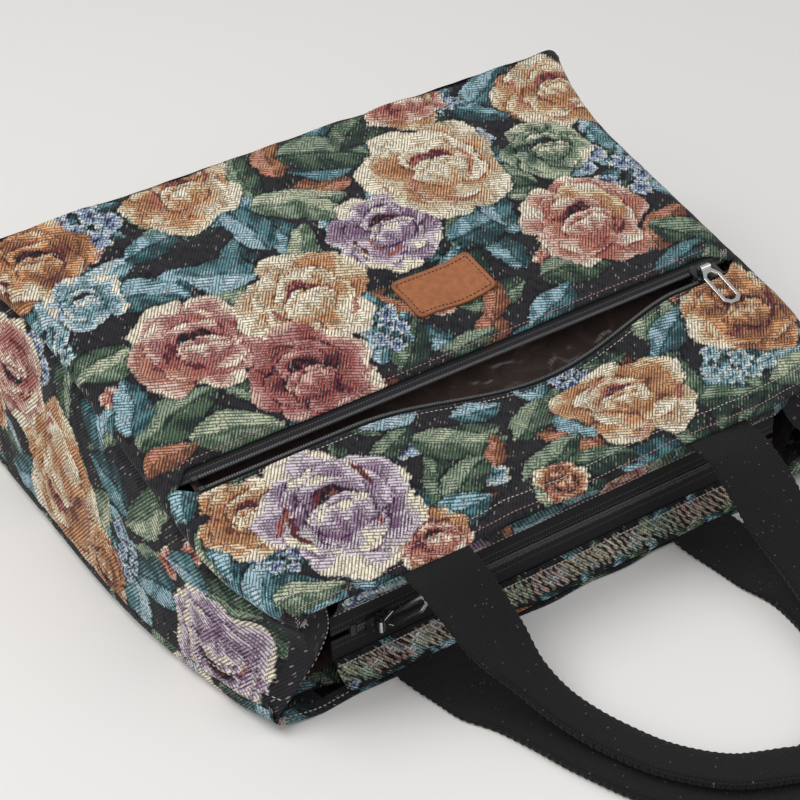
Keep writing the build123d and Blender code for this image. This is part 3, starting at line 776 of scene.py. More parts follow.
def tapestry_material():
    """Jacquard cloth: pale weft lines over a dark warp, fuller where the picture is paler, with painted light along
    the middle of each yarn and painted shade in the gaps between the yarns.
    """
    paint = Paint("tapestry", Roughness=0.88, Sheen_Weight=0.06, Sheen_Roughness=0.5, Specular_IOR_Level=0.2)
    cloth, u, v = paint.cloth()
    pale, _, share = paint.stored("pale_yarn")
    dark, _, twill = paint.stored("dark_yarn")
    wander = paint.noise(cloth, 0.7, 2.0) - 0.5
    u = u + wander * 0.5
    v = v + wander * 0.4
    flat_body, flat_knot, luck = twill_lines(paint, u, v, math.radians(-24.0), 1.9, 1.5)
    steep_body, steep_knot, _ = twill_lines(paint, u, v, math.radians(52.0), 1.6, 1.2)
    steep = twill.step(0.4, 0.6)
    body = flat_body + (steep_body - flat_body) * steep
    knot = flat_knot + (steep_knot - flat_knot) * steep
    shown = (body * 0.56 + knot * 0.30 + luck * 0.34 + share * 1.04 - 0.99).step(-0.07, 0.10)
    # Painted light: each weft line is paler along its middle, as if lit on its crown.
    weft = paint.scale(pale, luck * 0.28 + 0.60 + body * 0.34)
    # Painted light: each warp dot is paler in its middle.
    warp = paint.scale(dark, knot * 0.5 + 0.6)
    color = paint.mix(shown, warp, weft)
    # Painted shade: the gaps between the yarns are darkened almost to black.
    gap = (body * 0.72 + knot * 0.28 + luck * 0.10).step(0.45, 0.25)
    color = paint.mix(gap * 0.80, color, (0.010, 0.010, 0.012))
    dots = (luck - 0.74).step(0.0, 0.03) * knot.step(0.15, 0.55)
    color = paint.mix(dots * 0.62, color, (0.012, 0.012, 0.014))
    dash = (0.07 - luck).step(0.0, 0.01) * body.step(0.4, 0.7)
    color = paint.mix(dash * 0.42, color, (0.42, 0.38, 0.33))
    color = paint.scale(color, paint.noise(cloth, 0.05, 3.0) * 0.50 + 0.86)
    height = shown * 0.5 + body * 0.6 + knot * 0.25 - gap * 0.3
    return paint.finish(color, 0.93 - shown * 0.12, (height, 0.7, 0.5 * MM))


def satin_material():
    """Dark brown lining satin with soft creases, painted darker where its folds sink as shade and paler along its
    crease lines as highlights.
    """
    paint = Paint("satin", Sheen_Weight=0.15, Specular_IOR_Level=0.6)
    place = paint.place()
    cloud = paint.noise(place, 26.0, 3.0)
    crease = (paint.noise(place, 38.0, 2.0, 0.4) - 0.5).size().step(0.0, 0.09)
    satin = chosen().satin
    # Painted shade: the satin darkens to a fifth of its colour where the folds' height is low.
    color = paint.mix(cloud, darker(satin, 0.18), satin)
    # Painted highlight: paler lines along the creases.
    color = paint.mix((1.0 - crease) * 0.15, color, darker(satin, 1.8))
    x, y, _ = paint.parts(place)
    fine = ((x + y * 0.3) * 2600.0).sine()
    return paint.finish(color, cloud * 0.25 + 0.20, (cloud * 2.0 + crease * 1.2 + fine * 0.04, 0.7, 1.6 * MM))


def webbing_material():
    """Black cotton webbing: ribs across the strap, with painted shade in the grooves between them, a fuzzy surface and
    a little lint.
    """
    paint = Paint("webbing", Roughness=0.95, Sheen_Weight=0.08, Sheen_Roughness=0.6, Specular_IOR_Level=0.12)
    cloth, u, v = paint.cloth()
    fuzz = paint.noise(cloth, 2.4, 4.0, 0.7)
    rib = (v / 1.15 + fuzz * 0.2).ridge()
    knot = (u / 0.95 + (v / 1.15).floor() * 0.5).ridge()
    lint = paint.chance(paint.join((u / 0.8).floor(), (v / 0.8).floor()))
    speck = (lint - 0.993).step(0.0, 0.004) * fuzz.step(0.45, 0.62)
    cotton = chosen().webbing
    # Painted shade: the grooves between the ribs and their knots are darkened.
    color = paint.mix(rib * knot, darker(cotton, 0.2), cotton)
    color = paint.mix(fuzz.step(0.55, 0.95) * 0.5, color, darker(cotton, 2.1))
    color = paint.mix(speck * 0.6, color, (0.30, 0.30, 0.31))
    return paint.finish(color, 0.98 - rib * 0.12, (rib * 0.6 + knot * 0.35 + fuzz * 0.9, 0.7, 0.4 * MM))


def tape_material():
    """Fine black zip tape with a herringbone, with painted shade in its grooves."""
    paint = Paint("zip_tape", Roughness=0.78, Sheen_Weight=0.1, Specular_IOR_Level=0.25)
    _, u, v = paint.cloth()
    lean = ((v / 1.6).fraction() - 0.5).size() * 1.6
    ridge = (u / 0.75 + lean).ridge()
    stitch = (v.size() - 1.8).size().step(0.35, 0.2) * (u / 1.7).fraction().step(0.45, 0.55)
    # Painted shade: darker in the grooves of the herringbone, paler on its ridges.
    color = paint.mix(ridge, (0.004, 0.004, 0.005), (0.015, 0.015, 0.017))
    color = paint.mix(stitch * 0.8, color, (0.10, 0.10, 0.105))
    return paint.finish(color, 0.86 - ridge * 0.14, (ridge * 0.5 + stitch, 0.5, 0.2 * MM))


def coil_material():
    """Black nylon of the zip's rows, a little shiny."""
    paint = Paint("coil", Specular_IOR_Level=0.6, Coat_Weight=0.25)
    cloud = paint.noise(paint.place(), 900.0, 2.0)
    return paint.finish(paint.mix(cloud, (0.010, 0.010, 0.011), (0.050, 0.050, 0.053)), cloud * 0.25 + 0.20)


def enamel_material():
    """The slider's black enamel, with bright metal where it is rubbed."""
    paint = Paint("black_enamel", Specular_IOR_Level=0.5, Coat_Weight=0.3)
    cloud = paint.noise(paint.place(), 420.0, 4.0, 0.6)
    worn = cloud.step(0.60, 0.70) * 0.8
    color = paint.mix(worn, (0.012, 0.012, 0.014), (0.60, 0.58, 0.54))
    return paint.finish(color, cloud * 0.2 + 0.24, (cloud, 0.12, 0.1 * MM), worn)


def nickel_material():
    """Polished nickel with fine scratches."""
    paint = Paint("nickel", Metallic=1.0)
    place = paint.place()
    x, y, z = paint.parts(place)
    cloud = paint.noise(place, 300.0, 4.0, 0.6)
    lines = paint.noise(paint.join(x * 60.0, y * 9.0, z * 60.0), 60.0, 3.0, 0.7)
    color = paint.mix(cloud, darker(chosen().metal, 0.77), chosen().metal)
    return paint.finish(color, lines * 0.22 + 0.10, (lines, 0.08, 0.05 * MM))


def leather_material():
    """Tan leather, darker towards its cut edge, with a fine grain."""
    paint = Paint("tan_leather", Specular_IOR_Level=0.4)
    cloth, u, v = paint.cloth()
    grain = paint.node("ShaderNodeTexVoronoi", {"feature": "DISTANCE_TO_EDGE"}, Vector=cloth, Scale=1.5)
    pore = Link(paint, grain.outputs[0])
    cloud = paint.noise(cloth, 0.22, 4.0, 0.6)
    rim = ((u / (TAG_LENGTH / 2 / MM)).size().math("POWER", 8.0)
           + (v / (TAG_WIDTH / 2 / MM)).size().math("POWER", 6.0)).step(0.45, 1.5)
    tan = chosen().leather
    color = paint.mix(cloud.step(0.3, 0.75), darker(tan, 0.68), tan)
    color = paint.mix(rim * 0.7, color, darker(tan, 0.25))
    color = paint.mix(pore.step(0.10, 0.0) * 0.25, color, darker(tan, 0.35))
    return paint.finish(color, cloud * 0.25 + 0.42, (pore.step(0.0, 0.25) * 0.5 + cloud * 0.6, 0.35, 0.25 * MM))


def thread_material(name, pale, dark):
    """Twisted sewing thread, its dark colour painted as shade between the plies."""
    paint = Paint(name, Roughness=0.7, Sheen_Weight=0.2)
    place = paint.place()
    x, y, z = paint.parts(place)
    ply = ((x + y * 0.8 + z) * 9000.0).sine() * 0.5 + 0.5
    # Painted shade: the dark colour shows in the grooves of the twist, and where a noise is low.
    return paint.finish(paint.mix(ply * paint.noise(place, 70.0, 1.0), dark, pale), None, (ply, 0.4, 0.1 * MM))


def table_material():
    """A plain pale table top."""
    paint = Paint("table_top", Roughness=0.5, Specular_IOR_Level=0.3)
    cloud = paint.noise(paint.place(), 1.4, 2.0)
    return paint.finish(paint.mix(cloud, darker(chosen().table, 0.93), chosen().table))


# Each thread's pale colour, and its dark colour that is painted as shade between the plies
THREADS = {
    "white_thread": ((0.80, 0.74, 0.68), (0.42, 0.34, 0.31)),
    "pink_thread": ((0.72, 0.48, 0.44), (0.36, 0.14, 0.14)),
    "dark_thread": ((0.075, 0.036, 0.020), (0.02, 0.010, 0.006)),
}
MAKERS = {
    "tapestry": tapestry_material, "satin": satin_material, "webbing": webbing_material, "tape": tape_material,
    "coil": coil_material, "enamel": enamel_material, "nickel": nickel_material, "leather": leather_material,
    "table": table_material,
}
MATERIALS = {}


def material(name):
    """A material by name, made when it is first asked for."""
    if name not in MATERIALS:
        MATERIALS[name] = MAKERS[name]() if name in MAKERS else thread_material(name, *THREADS[name])
    return MATERIALS[name]


def front_surface(x_along, h, extra=0.0):
    """A point on the dressed front, for a distance along the cloth and a height from the mouth."""
    x, z = front_section(x_along, h)
    edge = front_length(h) - np.abs(x_along)
    away = smooth(4.0 * MM, 34.0 * MM, np.abs(h - POCKET_H) - POCKET_SLOT)
    lift = (0.5 + 1.9 * away) * ripple(x_along, h, 11, 105.0 * MM) + 0.9 * away * ripple(x_along, h, 17, 38.0 * MM)
    lift = lift * smooth(0.0, 30.0 * MM, edge)
    lift = np.where(h < POCKET_H, np.minimum(lift, 0.1 + 1.2 * smooth(62.0 * MM, 30.0 * MM, h)), lift)
    lift = lift + pucker(edge, h, 2.0)
    return x, z + (lift + extra) * MM


def upper_panel(a, b):
    """Front cloth above the pocket zip, its lower edge turned under."""
    across = (a * 2 - 1) * front_length(POCKET_H)
    start = POCKET_H + upper_slot(across)
    past = UPPER_TURN - b * (HEIGHT - start + UPPER_TURN)
    h = np.maximum(start, start - past)
    forward, under = curl(np.clip(past, 0.0, None), HEM_TURN)
    along = (a * 2 - 1) * front_length(h)
    x, z = front_surface(along, h)
    ridge = smooth(7.0 * MM, 1.0 * MM, h - start) * 0.5 * MM
    end = smooth(6.0 * MM, 0.0, HEIGHT - h)
    return to_world(x, h - forward, z - under + ridge - 1.2 * MM * end), along, h - np.clip(past, 0.0, None)


def lower_panel(a, b):
    """Front cloth below the pocket zip: its zip edge sags open and its hem turns under at the mouth."""
    across = (a * 2 - 1) * front_length(POCKET_H)
    end = POCKET_H - slot_half(across)
    run = b * (end + LOWER_TURN + LOWER_HEM) - LOWER_HEM
    h = np.clip(run, 0.0, end)
    along = (a * 2 - 1) * front_length(h)
    x, z = front_surface(along, h)
    forward, under = curl(np.clip(run - end, 0.0, None), HEM_TURN)
    back, below = curl(np.clip(-run, 0.0, None), 1.3 * MM)
    fall = gape(x) * smooth(0.0, end, h) ** 2.2
    ridge = smooth(6.0 * MM, 1.0 * MM, end - h) * 0.4 * MM
    hem_ridge = (smooth(12.5 * MM, 11.0 * MM, h) * 0.5 + pucker(np.abs(h - 10.0 * MM), along, 3.0) * 0.5) * MM
    sway = 1.6 * MM * ripple(x, h * 0.2, 5, 150.0 * MM) * smooth(60.0 * MM, 0.0, h)
    spot = to_world(x, h + forward - back - fall * chosen().gape_back + sway,
                    z - under - below - fall * chosen().gape_drop + ridge + hem_ridge)
    return spot, along, run


def gusset_panel(side):
    """The place function of a gusset: along its length from the turned-in mouth to the base, and down it."""
    def place(a, w):
        run = a * (HEIGHT + FLAP) - FLAP
        h = np.clip(run, 0.0, None)
        high = top(h) - ROLL + 1.0 * MM
        low = BACK_EDGE
        fold = 1.05 * np.sin(math.pi * np.clip(w, 0.0, 1.0) ** 0.85)
        x = half_front(h) + (half_back(h) - half_front(h)) * w - pinch(h) * fold
        z = high + (low - high) * w
        depth = high - low
        seam = np.minimum(w, 1 - w) * depth
        slack = 2.2 * ripple(h, z, 21 + int(side), 90.0 * MM) + 0.8 * ripple(h, z, 27 + int(side), 34.0 * MM)
        puff = pucker(seam, h, 4.0 + side) + slack * smooth(0, 20 * MM, seam)
        puff = puff - 2.4 * smooth(3.5 * MM, 0.0, seam)
        crease = np.exp(-((h - 16.0 * MM - 14.0 * MM * w) / (9.0 * MM)) ** 2) * np.sin(math.pi * w)
        puff = puff - 2.2 * crease
        x = x + puff * MM
        past = np.clip(-run, 0.0, None) / FLAP
        reach = past * (19.0 * (1 - w) ** 0.8 + 2.0) * MM
        turn = smooth(0.0, 0.35, past)
        x = x - reach * turn
        inward = reach * 0.45 + 3.0 * MM * turn
        end = smooth(6.0 * MM, 0.0, HEIGHT - h) * 1.2 * MM
        return to_world(side * (x - end), h + inward, z), run, w * depth
    return place


def back_cloth(a, b):
    """The back cloth on the table, its side edges turned up and its mouth edge hemmed."""
    run = b * (HEIGHT + BACK_HEM) - BACK_HEM
    h = np.clip(run, 0.0, HEIGHT)
    reach = half_back(h) - BACK_EDGE
    along = (a * 2 - 1) * (reach + BACK_EDGE * BACK_TURN)
    past = np.clip(np.abs(along) - reach, 0.0, None)
    angle = past / BACK_EDGE
    x = np.sign(along) * np.where(past > 0, reach + BACK_EDGE * np.sin(angle), np.abs(along))
    z = BACK_EDGE * (1 - np.cos(angle))
    forward, over = curl(np.clip(-run, 0.0, None), 0.9 * MM)
    corner = smooth(122.0 * MM, 172.0 * MM, x) * smooth(46.0 * MM, 4.0 * MM, h)
    lift = corner * (9.0 + 4.0 * np.sin(x / (7.0 * MM)) + 2.5 * np.sin(h / (5.0 * MM) + 1.0)) * MM
    corner_left = smooth(-150.0 * MM, -178.0 * MM, x) * smooth(26.0 * MM, 2.0 * MM, h)
    lift = lift + corner_left * 3.5 * MM
    edge = 0.7 * MM * np.clip(ripple(x, h, 9, 70.0 * MM), 0.0, None) * smooth(30.0 * MM, 0.0, h)
    return to_world(x, h - forward + 1.5 * MM * ripple(x, x, 8, 120 * MM) * smooth(20 * MM, 0, h),
                    z + over + lift + edge), along, run


def base_cloth(a, b):
    """The base cloth, gently bulged, seamed to the four walls."""
    low = 1.0 * MM
    high = BASE_DEPTH - 1.0 * MM
    z = low + (high - low) * b
    drop = np.minimum(z - low, high - z)
    half = BASE_WIDTH / 2 - 0.8 * MM - 7.0 * MM * smooth(8.0 * MM, 0.0, drop) ** 1.5
    x = (a * 2 - 1) * half
    swell = BASE_BULGE * np.sin(math.pi * b) ** 0.6 * (1 - (x / half) ** 4)
    side = np.minimum(half - np.abs(x), drop)
    wave = (pucker(side, x + z, 6.0) + 0.8 * ripple(x, z, 31, 90.0 * MM)) * MM
    tuck = smooth(2.0 * MM, 0.0, side) * 1.2 * MM
    return to_world(x, HEIGHT + 0.6 * MM + swell + wave * 0.6 - tuck, z), x, z


def woven(name, node, across, up, place, motifs, seed, flip=False, spacing=30.0,
          bare=None):
    """One panel of tapestry cloth, with the size that it was cut to before it was sewn."""
    mesh, u, v = grid_mesh(name, across, up, place, flip)
    weave_print(mesh, u, v, motifs, seed, spacing, bare)
    piece = finish_piece(mesh, name, material("tapestry"), (node,))


def plain(name, across, up, place, material_name, replaced, flip=False, weld=False):
    """One piece of plain material from a place function."""
    mesh, _, _ = grid_mesh(name, across, up, place, flip)
    if weld:
        bm = bmesh.new()
        bm.from_mesh(mesh)
        bmesh.ops.remove_doubles(bm, verts=bm.verts, dist=WELD)
        bm.to_mesh(mesh)
        bm.free()
    return finish_piece(mesh, name, material(material_name), replaced)


def cells(length, pitch=1.05 * MM):
    """How many grid cells of a pitch fit a length."""
    return max(2, round(length / pitch))


def make_walls():
    """The six panels of tapestry cloth."""
    woven("front_cloth_upper", "front_upper_panel", cells(0.38), cells(0.205), upper_panel, FRONT_MOTIFS, 1)
    woven("front_cloth_lower", "front_lower_panel", cells(0.372), cells(0.105), lower_panel, LOWER_MOTIFS, 2)
    for side, word, pitch, motifs, bare in ((-1, "left", 1.2 * MM, LEFT_MOTIFS, 9.0 * MM),
                                            (1, "right", 1.3 * MM, RIGHT_MOTIFS, -1.0 * MM)):
        woven(f"gusset_cloth_{word}", f"{word}_gusset", cells(0.314, pitch), cells(0.1, pitch), gusset_panel(side),
              motifs, 3 + (side > 0), flip=side > 0, bare=bare)
    woven("back_cloth", "back_panel", cells(0.4, 1.6 * MM), cells(0.304, 1.6 * MM), back_cloth, BACK_MOTIFS, 5,
          flip=True)
    woven("base_cloth", "base_panel", cells(0.4, 1.5 * MM), cells(0.13, 1.5 * MM), base_cloth, BASE_MOTIFS, 6,
          flip=True, spacing=28.0)


def facing_place(upper):
    """The tapestry strip from a mouth edge in to the main zip."""
    reach = MAIN_STAND + TOOTH + TAPE_WIDTH - 1.0 * MM
    edge = MAIN_H - TAPE / 2 - 0.5 * MM
    if upper:
        knots = [(0.6, 61.8), (3.0, 59.6), (5.6, 52.9), (9.6, 46.9), (edge / MM, (MAIN_Z + reach) / MM)]
    else:
        knots = [(edge / MM, (MAIN_Z - reach) / MM), (9.8, 10.2), (6.0, 7.6), (2.0, 5.6), (0.0, 4.2)]
    hs = np.array([k[0] for k in knots]) * MM
    zs = np.array([k[1] for k in knots]) * MM

    def place(a, b):
        x = (a * 2 - 1) * MAIN_TAPE_HALF
        steps = np.linspace(0.0, 1.0, len(hs))
        h = np.interp(b, steps, hs)
        z = np.interp(b, steps, zs)
        wave = 0.6 * MM * ripple(x, z, 41, 60.0 * MM)
        fold = 0.5 * MM * smooth(0.16, 0.10, np.minimum(b, 1 - b) if not upper else 1 - b)
        return to_world(x, h - wave * 0.6 - fold, z + wave * 0.3), x, b * 19.0 * MM
    return place


def make_mouth():
    """The two facings in the mouth."""
    woven("front_facing_cloth", "front_zip_facing", cells(0.276), 22, facing_place(True), MOUTH_MOTIFS, 12,
          flip=True, spacing=15.0)
    woven("back_facing_cloth", "back_zip_facing", cells(0.276), 16, facing_place(False), LADDER_MOTIFS, 13,
          flip=True, spacing=13.0)


def pocket_spot(x, across, up):
    """A place in the pocket zip's frame: across the zip towards the base, and above its tapes."""
    middle = top(POCKET_H) - POCKET_SUNK
    h = POCKET_H + across * math.cos(SLOPE) - up * math.sin(SLOPE)
    z = middle + across * math.sin(SLOPE) + up * math.cos(SLOPE)
    return to_world(x, h, z)


def sag(spots, x, share=1.0):
    """Lowers and draws back places of the pocket's lower side with its cloth."""
    fall = gape(x)
    spots[:, 1] -= fall * chosen().gape_back * share
    spots[:, 2] -= fall * chosen().gape_drop * share
    return spots


def zip_spot(pocket, side, x, out, up):
    """A place on either zip: out from its middle to one side, and above its tapes."""
    if not pocket:
        return to_world(x, MAIN_H - up, MAIN_Z + side * out)
    spots = pocket_spot(x, side * out, up)
    return sag(spots, x) if side < 0 else spots


def within_ends(a):
    """Nought at a tube's two ends, where its section closes to a point, and one between them."""
    return (a > TUBE_END) & (a < 1 - TUBE_END)


def tape_place(pocket, side):
    """One tape of a zip, from its rows outwards."""
    half = POCKET_TAPE_HALF if pocket else MAIN_TAPE_HALF
    stand = (POCKET_STAND if pocket else MAIN_STAND) + 0.6 * MM

    def place(a, b):
        x = (a * 2 - 1) * half
        out = stand + b * (TAPE_WIDTH + 1.6 * MM)
        wave = 0.25 * MM * ripple(x, out, 51 + side, 45.0 * MM) * smooth(0.0, 0.3, b)
        return zip_spot(pocket, side, x, out, TAPE / 2 + wave), x, out - stand - 3.2 * MM
    return place


def coil_place(pocket, side):
    """One ribbed row of a zip, as a tube that swells at each turn."""
    half = POCKET_TEETH_HALF if pocket else MAIN_TEETH_HALF
    middle = POCKET_STAND + 1.25 * MM if pocket else 0.95 * MM
    phase = 0.25 * COIL_PITCH * side

    def place(a, b):
        x = (a * 2 - 1) * half
        turn = b * 2 * math.pi
        rib = np.abs(np.cos(math.pi * (x + phase) / COIL_PITCH))
        out = middle + (0.85 + 0.55 * rib) * MM * within_ends(a) * np.cos(turn)
        lift = TAPE / 2 + 0.25 * MM + (0.65 + 0.60 * rib) * MM * within_ends(a) * np.sin(turn)
        return zip_spot(pocket, side, x, out, lift), x, out
    return place


def make_zips():
    """Tapes and rows of both zips, and the finish of the sliders, pulls and stops."""
    for zip_name, tape, teeth, words in (("pocket", POCKET_TAPE_HALF, POCKET_TEETH_HALF, ("upper", "lower")),
                                         ("main", MAIN_TAPE_HALF, MAIN_TEETH_HALF, ("front", "back"))):
        pocket = zip_name == "pocket"
        for side, word in zip((1, -1), words):
            plain(f"{zip_name}_tape_{word}", cells(tape * 2, 2.0 * MM), 10, tape_place(pocket, side), "tape",
                  (f"{zip_name}_zip_{word}_tape",), flip=side < 0)
            plain(f"{zip_name}_coil_{word}", int(teeth * 2 / COIL_PITCH) * 4, 8, coil_place(pocket, side), "coil",
                  (f"{zip_name}_zip_{word}_teeth",), flip=side < 0, weld=True)
    for part, name in (("slider", "enamel"), ("pull", "nickel"), ("stops", "coil")):
        for zip_name in ("pocket", "main"):
            finish_node(f"{zip_name}_zip_{part}", name)


def finish_node(node, name):
    """Gives a carried-over node its procedural finish."""
    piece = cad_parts[node]
    if not piece.material_slots:
        raise RuntimeError(f"{node} has no material slot")
    for place in piece.material_slots:
        place.material = material(name)


def pocket_lining_place(a, b):
    """The pocket's inside as one flattened tube: down the front sheet and back along the back sheet."""
    x = (a * 2 - 1) * POCKET_HALF
    roof = -TAPE / 2 - 0.5 * MM
    floor = -POCKET_DEPTH + 0.8 * MM
    near = -(POCKET_STAND + TOOTH + 9.0 * MM)
    knots_y = np.array([7.0 * MM, 60.0 * MM, 120.0 * MM, POCKET_BOTTOM, POCKET_BOTTOM, 100.0 * MM, 40.0 * MM, near,
                        near])
    knots_z = np.array([roof, roof - 0.6 * MM, roof - 0.6 * MM, roof, floor, floor, floor, floor, roof - 1.2 * MM])
    steps = np.linspace(0.0, 1.0, len(knots_y))
    across = np.interp(b, steps, knots_y)
    up = np.interp(b, steps, knots_z)
    shut = smooth(POCKET_HALF, POCKET_HALF - 12.0 * MM, np.abs(x))
    up = roof + (up - roof) * (0.1 + 0.9 * shut)
    crease = 1.6 * MM * np.clip(ripple(x + across * 0.7, across * 0.4, 61, 34.0 * MM), -0.4, 1.0)
    up = up + crease * smooth(0.45, 0.6, b) * shut
    return sag(pocket_spot(x, across, up), x, smooth(0.7, 1.0, b)), x, across + 0.2 * up


def bag_lining_place(a, b):
    """The bag's lining: a soft tube from inside the mouth to the base, closed there."""
    h = 22.0 * MM + (HEIGHT - 30.0 * MM) * np.clip(b / 0.82, 0.0, 1.0)
    close = 1.0 - smooth(0.82, 1.0, b)
    angle = a * 2 * math.pi
    roof = np.where(h < 75.0 * MM, top(h) - 5.0 * MM - 16.0 * MM * (h - 22.0 * MM) / (53.0 * MM), top(h) - 21.5 * MM)
    floor = 3.6 * MM
    middle = (roof + floor) / 2
    tall = (roof - floor) / 2
    half = np.minimum(half_front(h), half_back(h)) - np.clip(pinch(h), 0.0, None) - 4.5 * MM
    cosine = np.cos(angle)
    sine = np.sin(angle)
    square = 1.0 / np.maximum(np.abs(cosine), np.abs(sine)) ** 0.82
    x = half * np.clip(cosine * square, -1.0, 1.0) * close
    z = middle + tall * np.clip(sine * square, -1.0, 1.0) * close
    wave = 1.2 * MM * ripple(x + z, h, 71, 60.0 * MM)
    return to_world(x - wave * np.sign(x) * close, h, z - wave * np.sign(sine) * close), angle * 0.1, h


def make_linings():
    """The linings of the pocket and of the bag."""
    lining = plain("pocket_lining", 164, 90, pocket_lining_place, "satin",
                   ("pocket_front_lining", "pocket_back_lining"))
    lining = plain("bag_lining", 150, 80, bag_lining_place, "satin",
                   ("front_lining", "back_lining", "left_lining", "right_lining", "base_lining"), weld=True)


# The handles' routes: across, from the mouth, up from the strap's root, and how far the strap is folded
FRONT_ROOT = MOUTH_DEPTH - 1.6 * MM - 0.7 * MM - STRAP / 2
FRONT_ROUTE = (
    (-86, 14, 2.4, 0.0), (-86, 0, 0.0, 0.0), (-84, -13, -5.0, 0.0), (-81, -27, -16.0, 0.0), (-77, -41, -28.5, 0.2),
    (-72, -57, -40.0, 0.8), (-66, -77, -48.0, 1.0), (-57, -101, -52.0, 1.0), (-45, -127, -52.5, 1.0),
    (-26, -149, -52.5, 1.0), (-3, -161, -52.5, 1.0), (10, -165, -52.5, 1.0), (35, -159, -52.5, 1.0),
    (55, -144, -52.5, 1.0), (69, -121, -51.5, 1.0), (78, -95, -46.5, 1.0), (83, -71, -39.0, 0.8),
    (87, -51, -28.0, 0.2), (89, -33, -17.0, 0.0), (89, -16, -6.5, 0.0), (86, 0, 0.0, 0.0), (86, 14, 2.4, 0.0),
)
BACK_ROUTE = (
    (-94, 14, 2.9, 0.0), (-94, 1, 2.9, 0.0), (-92, -10, 2.1, 0.0), (-88, -25, 1.3, 0.0), (-85, -41, 1.4, 0.1),
    (-82, -58, 1.9, 0.8), (-77, -78, 2.3, 1.0), (-69, -103, 2.3, 1.0), (-57, -131, 2.3, 1.0), (-38, -157, 2.3, 1.0),
    (-12, -172, 2.3, 1.0), (16, -174, 2.3, 1.0), (42, -163, 2.3, 1.0), (60, -142, 2.3, 1.0), (71, -117, 2.3, 1.0),
    (77, -92, 2.3, 1.0), (81, -70, 1.9, 0.8), (83, -50, 1.4, 0.1), (82, -31, 1.3, 0.0), (79, -12, 2.1, 0.0),
    (78, 1, 2.9, 0.0), (78, 14, 2.9, 0.0),
)


def smooth_route(route, lift, count):
    """Evenly spaced points and folds along a route, rounded by a Catmull-Rom curve."""
    knots = np.array(route, dtype=float)
    knots[:, :3] *= MM
    knots[:, 2] += lift
    padded = np.vstack([2 * knots[0] - knots[1], knots, 2 * knots[-1] - knots[-2]])
    fine = []
    for i in range(1, len(padded) - 2):
        p0, p1, p2, p3 = padded[i - 1], padded[i], padded[i + 1], padded[i + 2]
        for t in np.linspace(0.0, 1.0, 24, endpoint=False):
            fine.append(0.5 * (2 * p1 + (p2 - p0) * t + (2 * p0 - 5 * p1 + 4 * p2 - p3) * t ** 2
                               + (3 * p1 - p0 - 3 * p2 + p3) * t ** 3))
    fine.append(knots[-1])
    fine = np.array(fine)
    gaps = np.linalg.norm(np.diff(fine[:, :3], axis=0), axis=1)
    travel = np.concatenate([[0.0], np.cumsum(gaps)])
    marks = np.linspace(0.0, travel[-1], count)
    return np.column_stack([np.interp(marks, travel, fine[:, k]) for k in range(4)]), marks


def strap_place(route, lift, seed):
    """A webbing strap along a route: flat at its ends, folded in half at the grip."""
    line, travel = smooth_route(route, lift, STRAP_STEPS)
    ahead = np.gradient(line[:, :3], axis=0)
    ahead /= np.linalg.norm(ahead, axis=1, keepdims=True)
    side = np.cross(ahead, np.array([0.0, 0.0, 1.0]))
    side /= np.linalg.norm(side, axis=1, keepdims=True)
    rise = np.cross(side, ahead)

    def place(a, b):
        index = np.clip(np.round(a * (STRAP_STEPS - 1)).astype(int), 0, STRAP_STEPS - 1)
        fold = np.clip(line[index, 3], 0.0, 1.0)
        turn = b * 2 * math.pi
        width = STRAP_WIDTH + (GRIP_WIDTH - STRAP_WIDTH) * fold
        thick = STRAP * 0.9 + (GRIP - STRAP * 0.9) * fold
        lay = np.cos(turn)
        body = np.sin(turn)
        flat = np.sign(lay) * np.abs(lay) ** 0.55
        face = np.sign(body) * np.abs(body) ** 0.38
        x = flat * width / 2
        y = face * thick / 2
        cup = (lay ** 2 - 0.5) * 1.1 * MM * (1 - fold)
        groove = np.exp(-((lay - 0.80) / 0.06) ** 2) * fold * np.clip(body, 0.0, None) * 1.0 * MM
        fuzz = 0.34 * MM * np.sin(travel[index] / (0.62 * MM)) * np.abs(lay) ** 6
        wave = 0.9 * MM * ripple(travel[index], x, seed, 60.0 * MM)
        within = within_ends(a)
        spots = line[index, :3] + side[index] * ((x + fuzz * np.sign(lay)) * within)[:, None]
        spots = spots + rise[index] * ((y + cup * 0.5 - groove + wave * 0.35) * within)[:, None]
        spots[:, 1] += MOUTH_Y
        spots[:, 2] = np.maximum(spots[:, 2] + TABLE_Z, TABLE_Z + 0.05 * MM)
        return spots, x, travel[index]
    return place


def make_handles():
    """Both webbing handles."""
    for word, route, lift, seed in (("front", FRONT_ROUTE, FRONT_ROOT, 81), ("back", BACK_ROUTE, 0.0, 82)):
        plain(f"{word}_webbing", STRAP_STEPS - 1, STRAP_AROUND, strap_place(route, lift, seed), "webbing",
              (f"{word}_handle",), flip=True, weld=True)


def tag_spot(a, b, lift):
    """A place on the tag, from its middle, seated on the front cloth."""
    x = TAG_X + a * np.cos(TAG_TURN) - b * np.sin(TAG_TURN)
    h = TAG_H + (a * np.sin(TAG_TURN) + b * np.cos(TAG_TURN)) * math.cos(SLOPE)
    _, z = front_surface(x, h)
    return to_world(x, h - lift * math.sin(SLOPE), z + lift * math.cos(SLOPE))


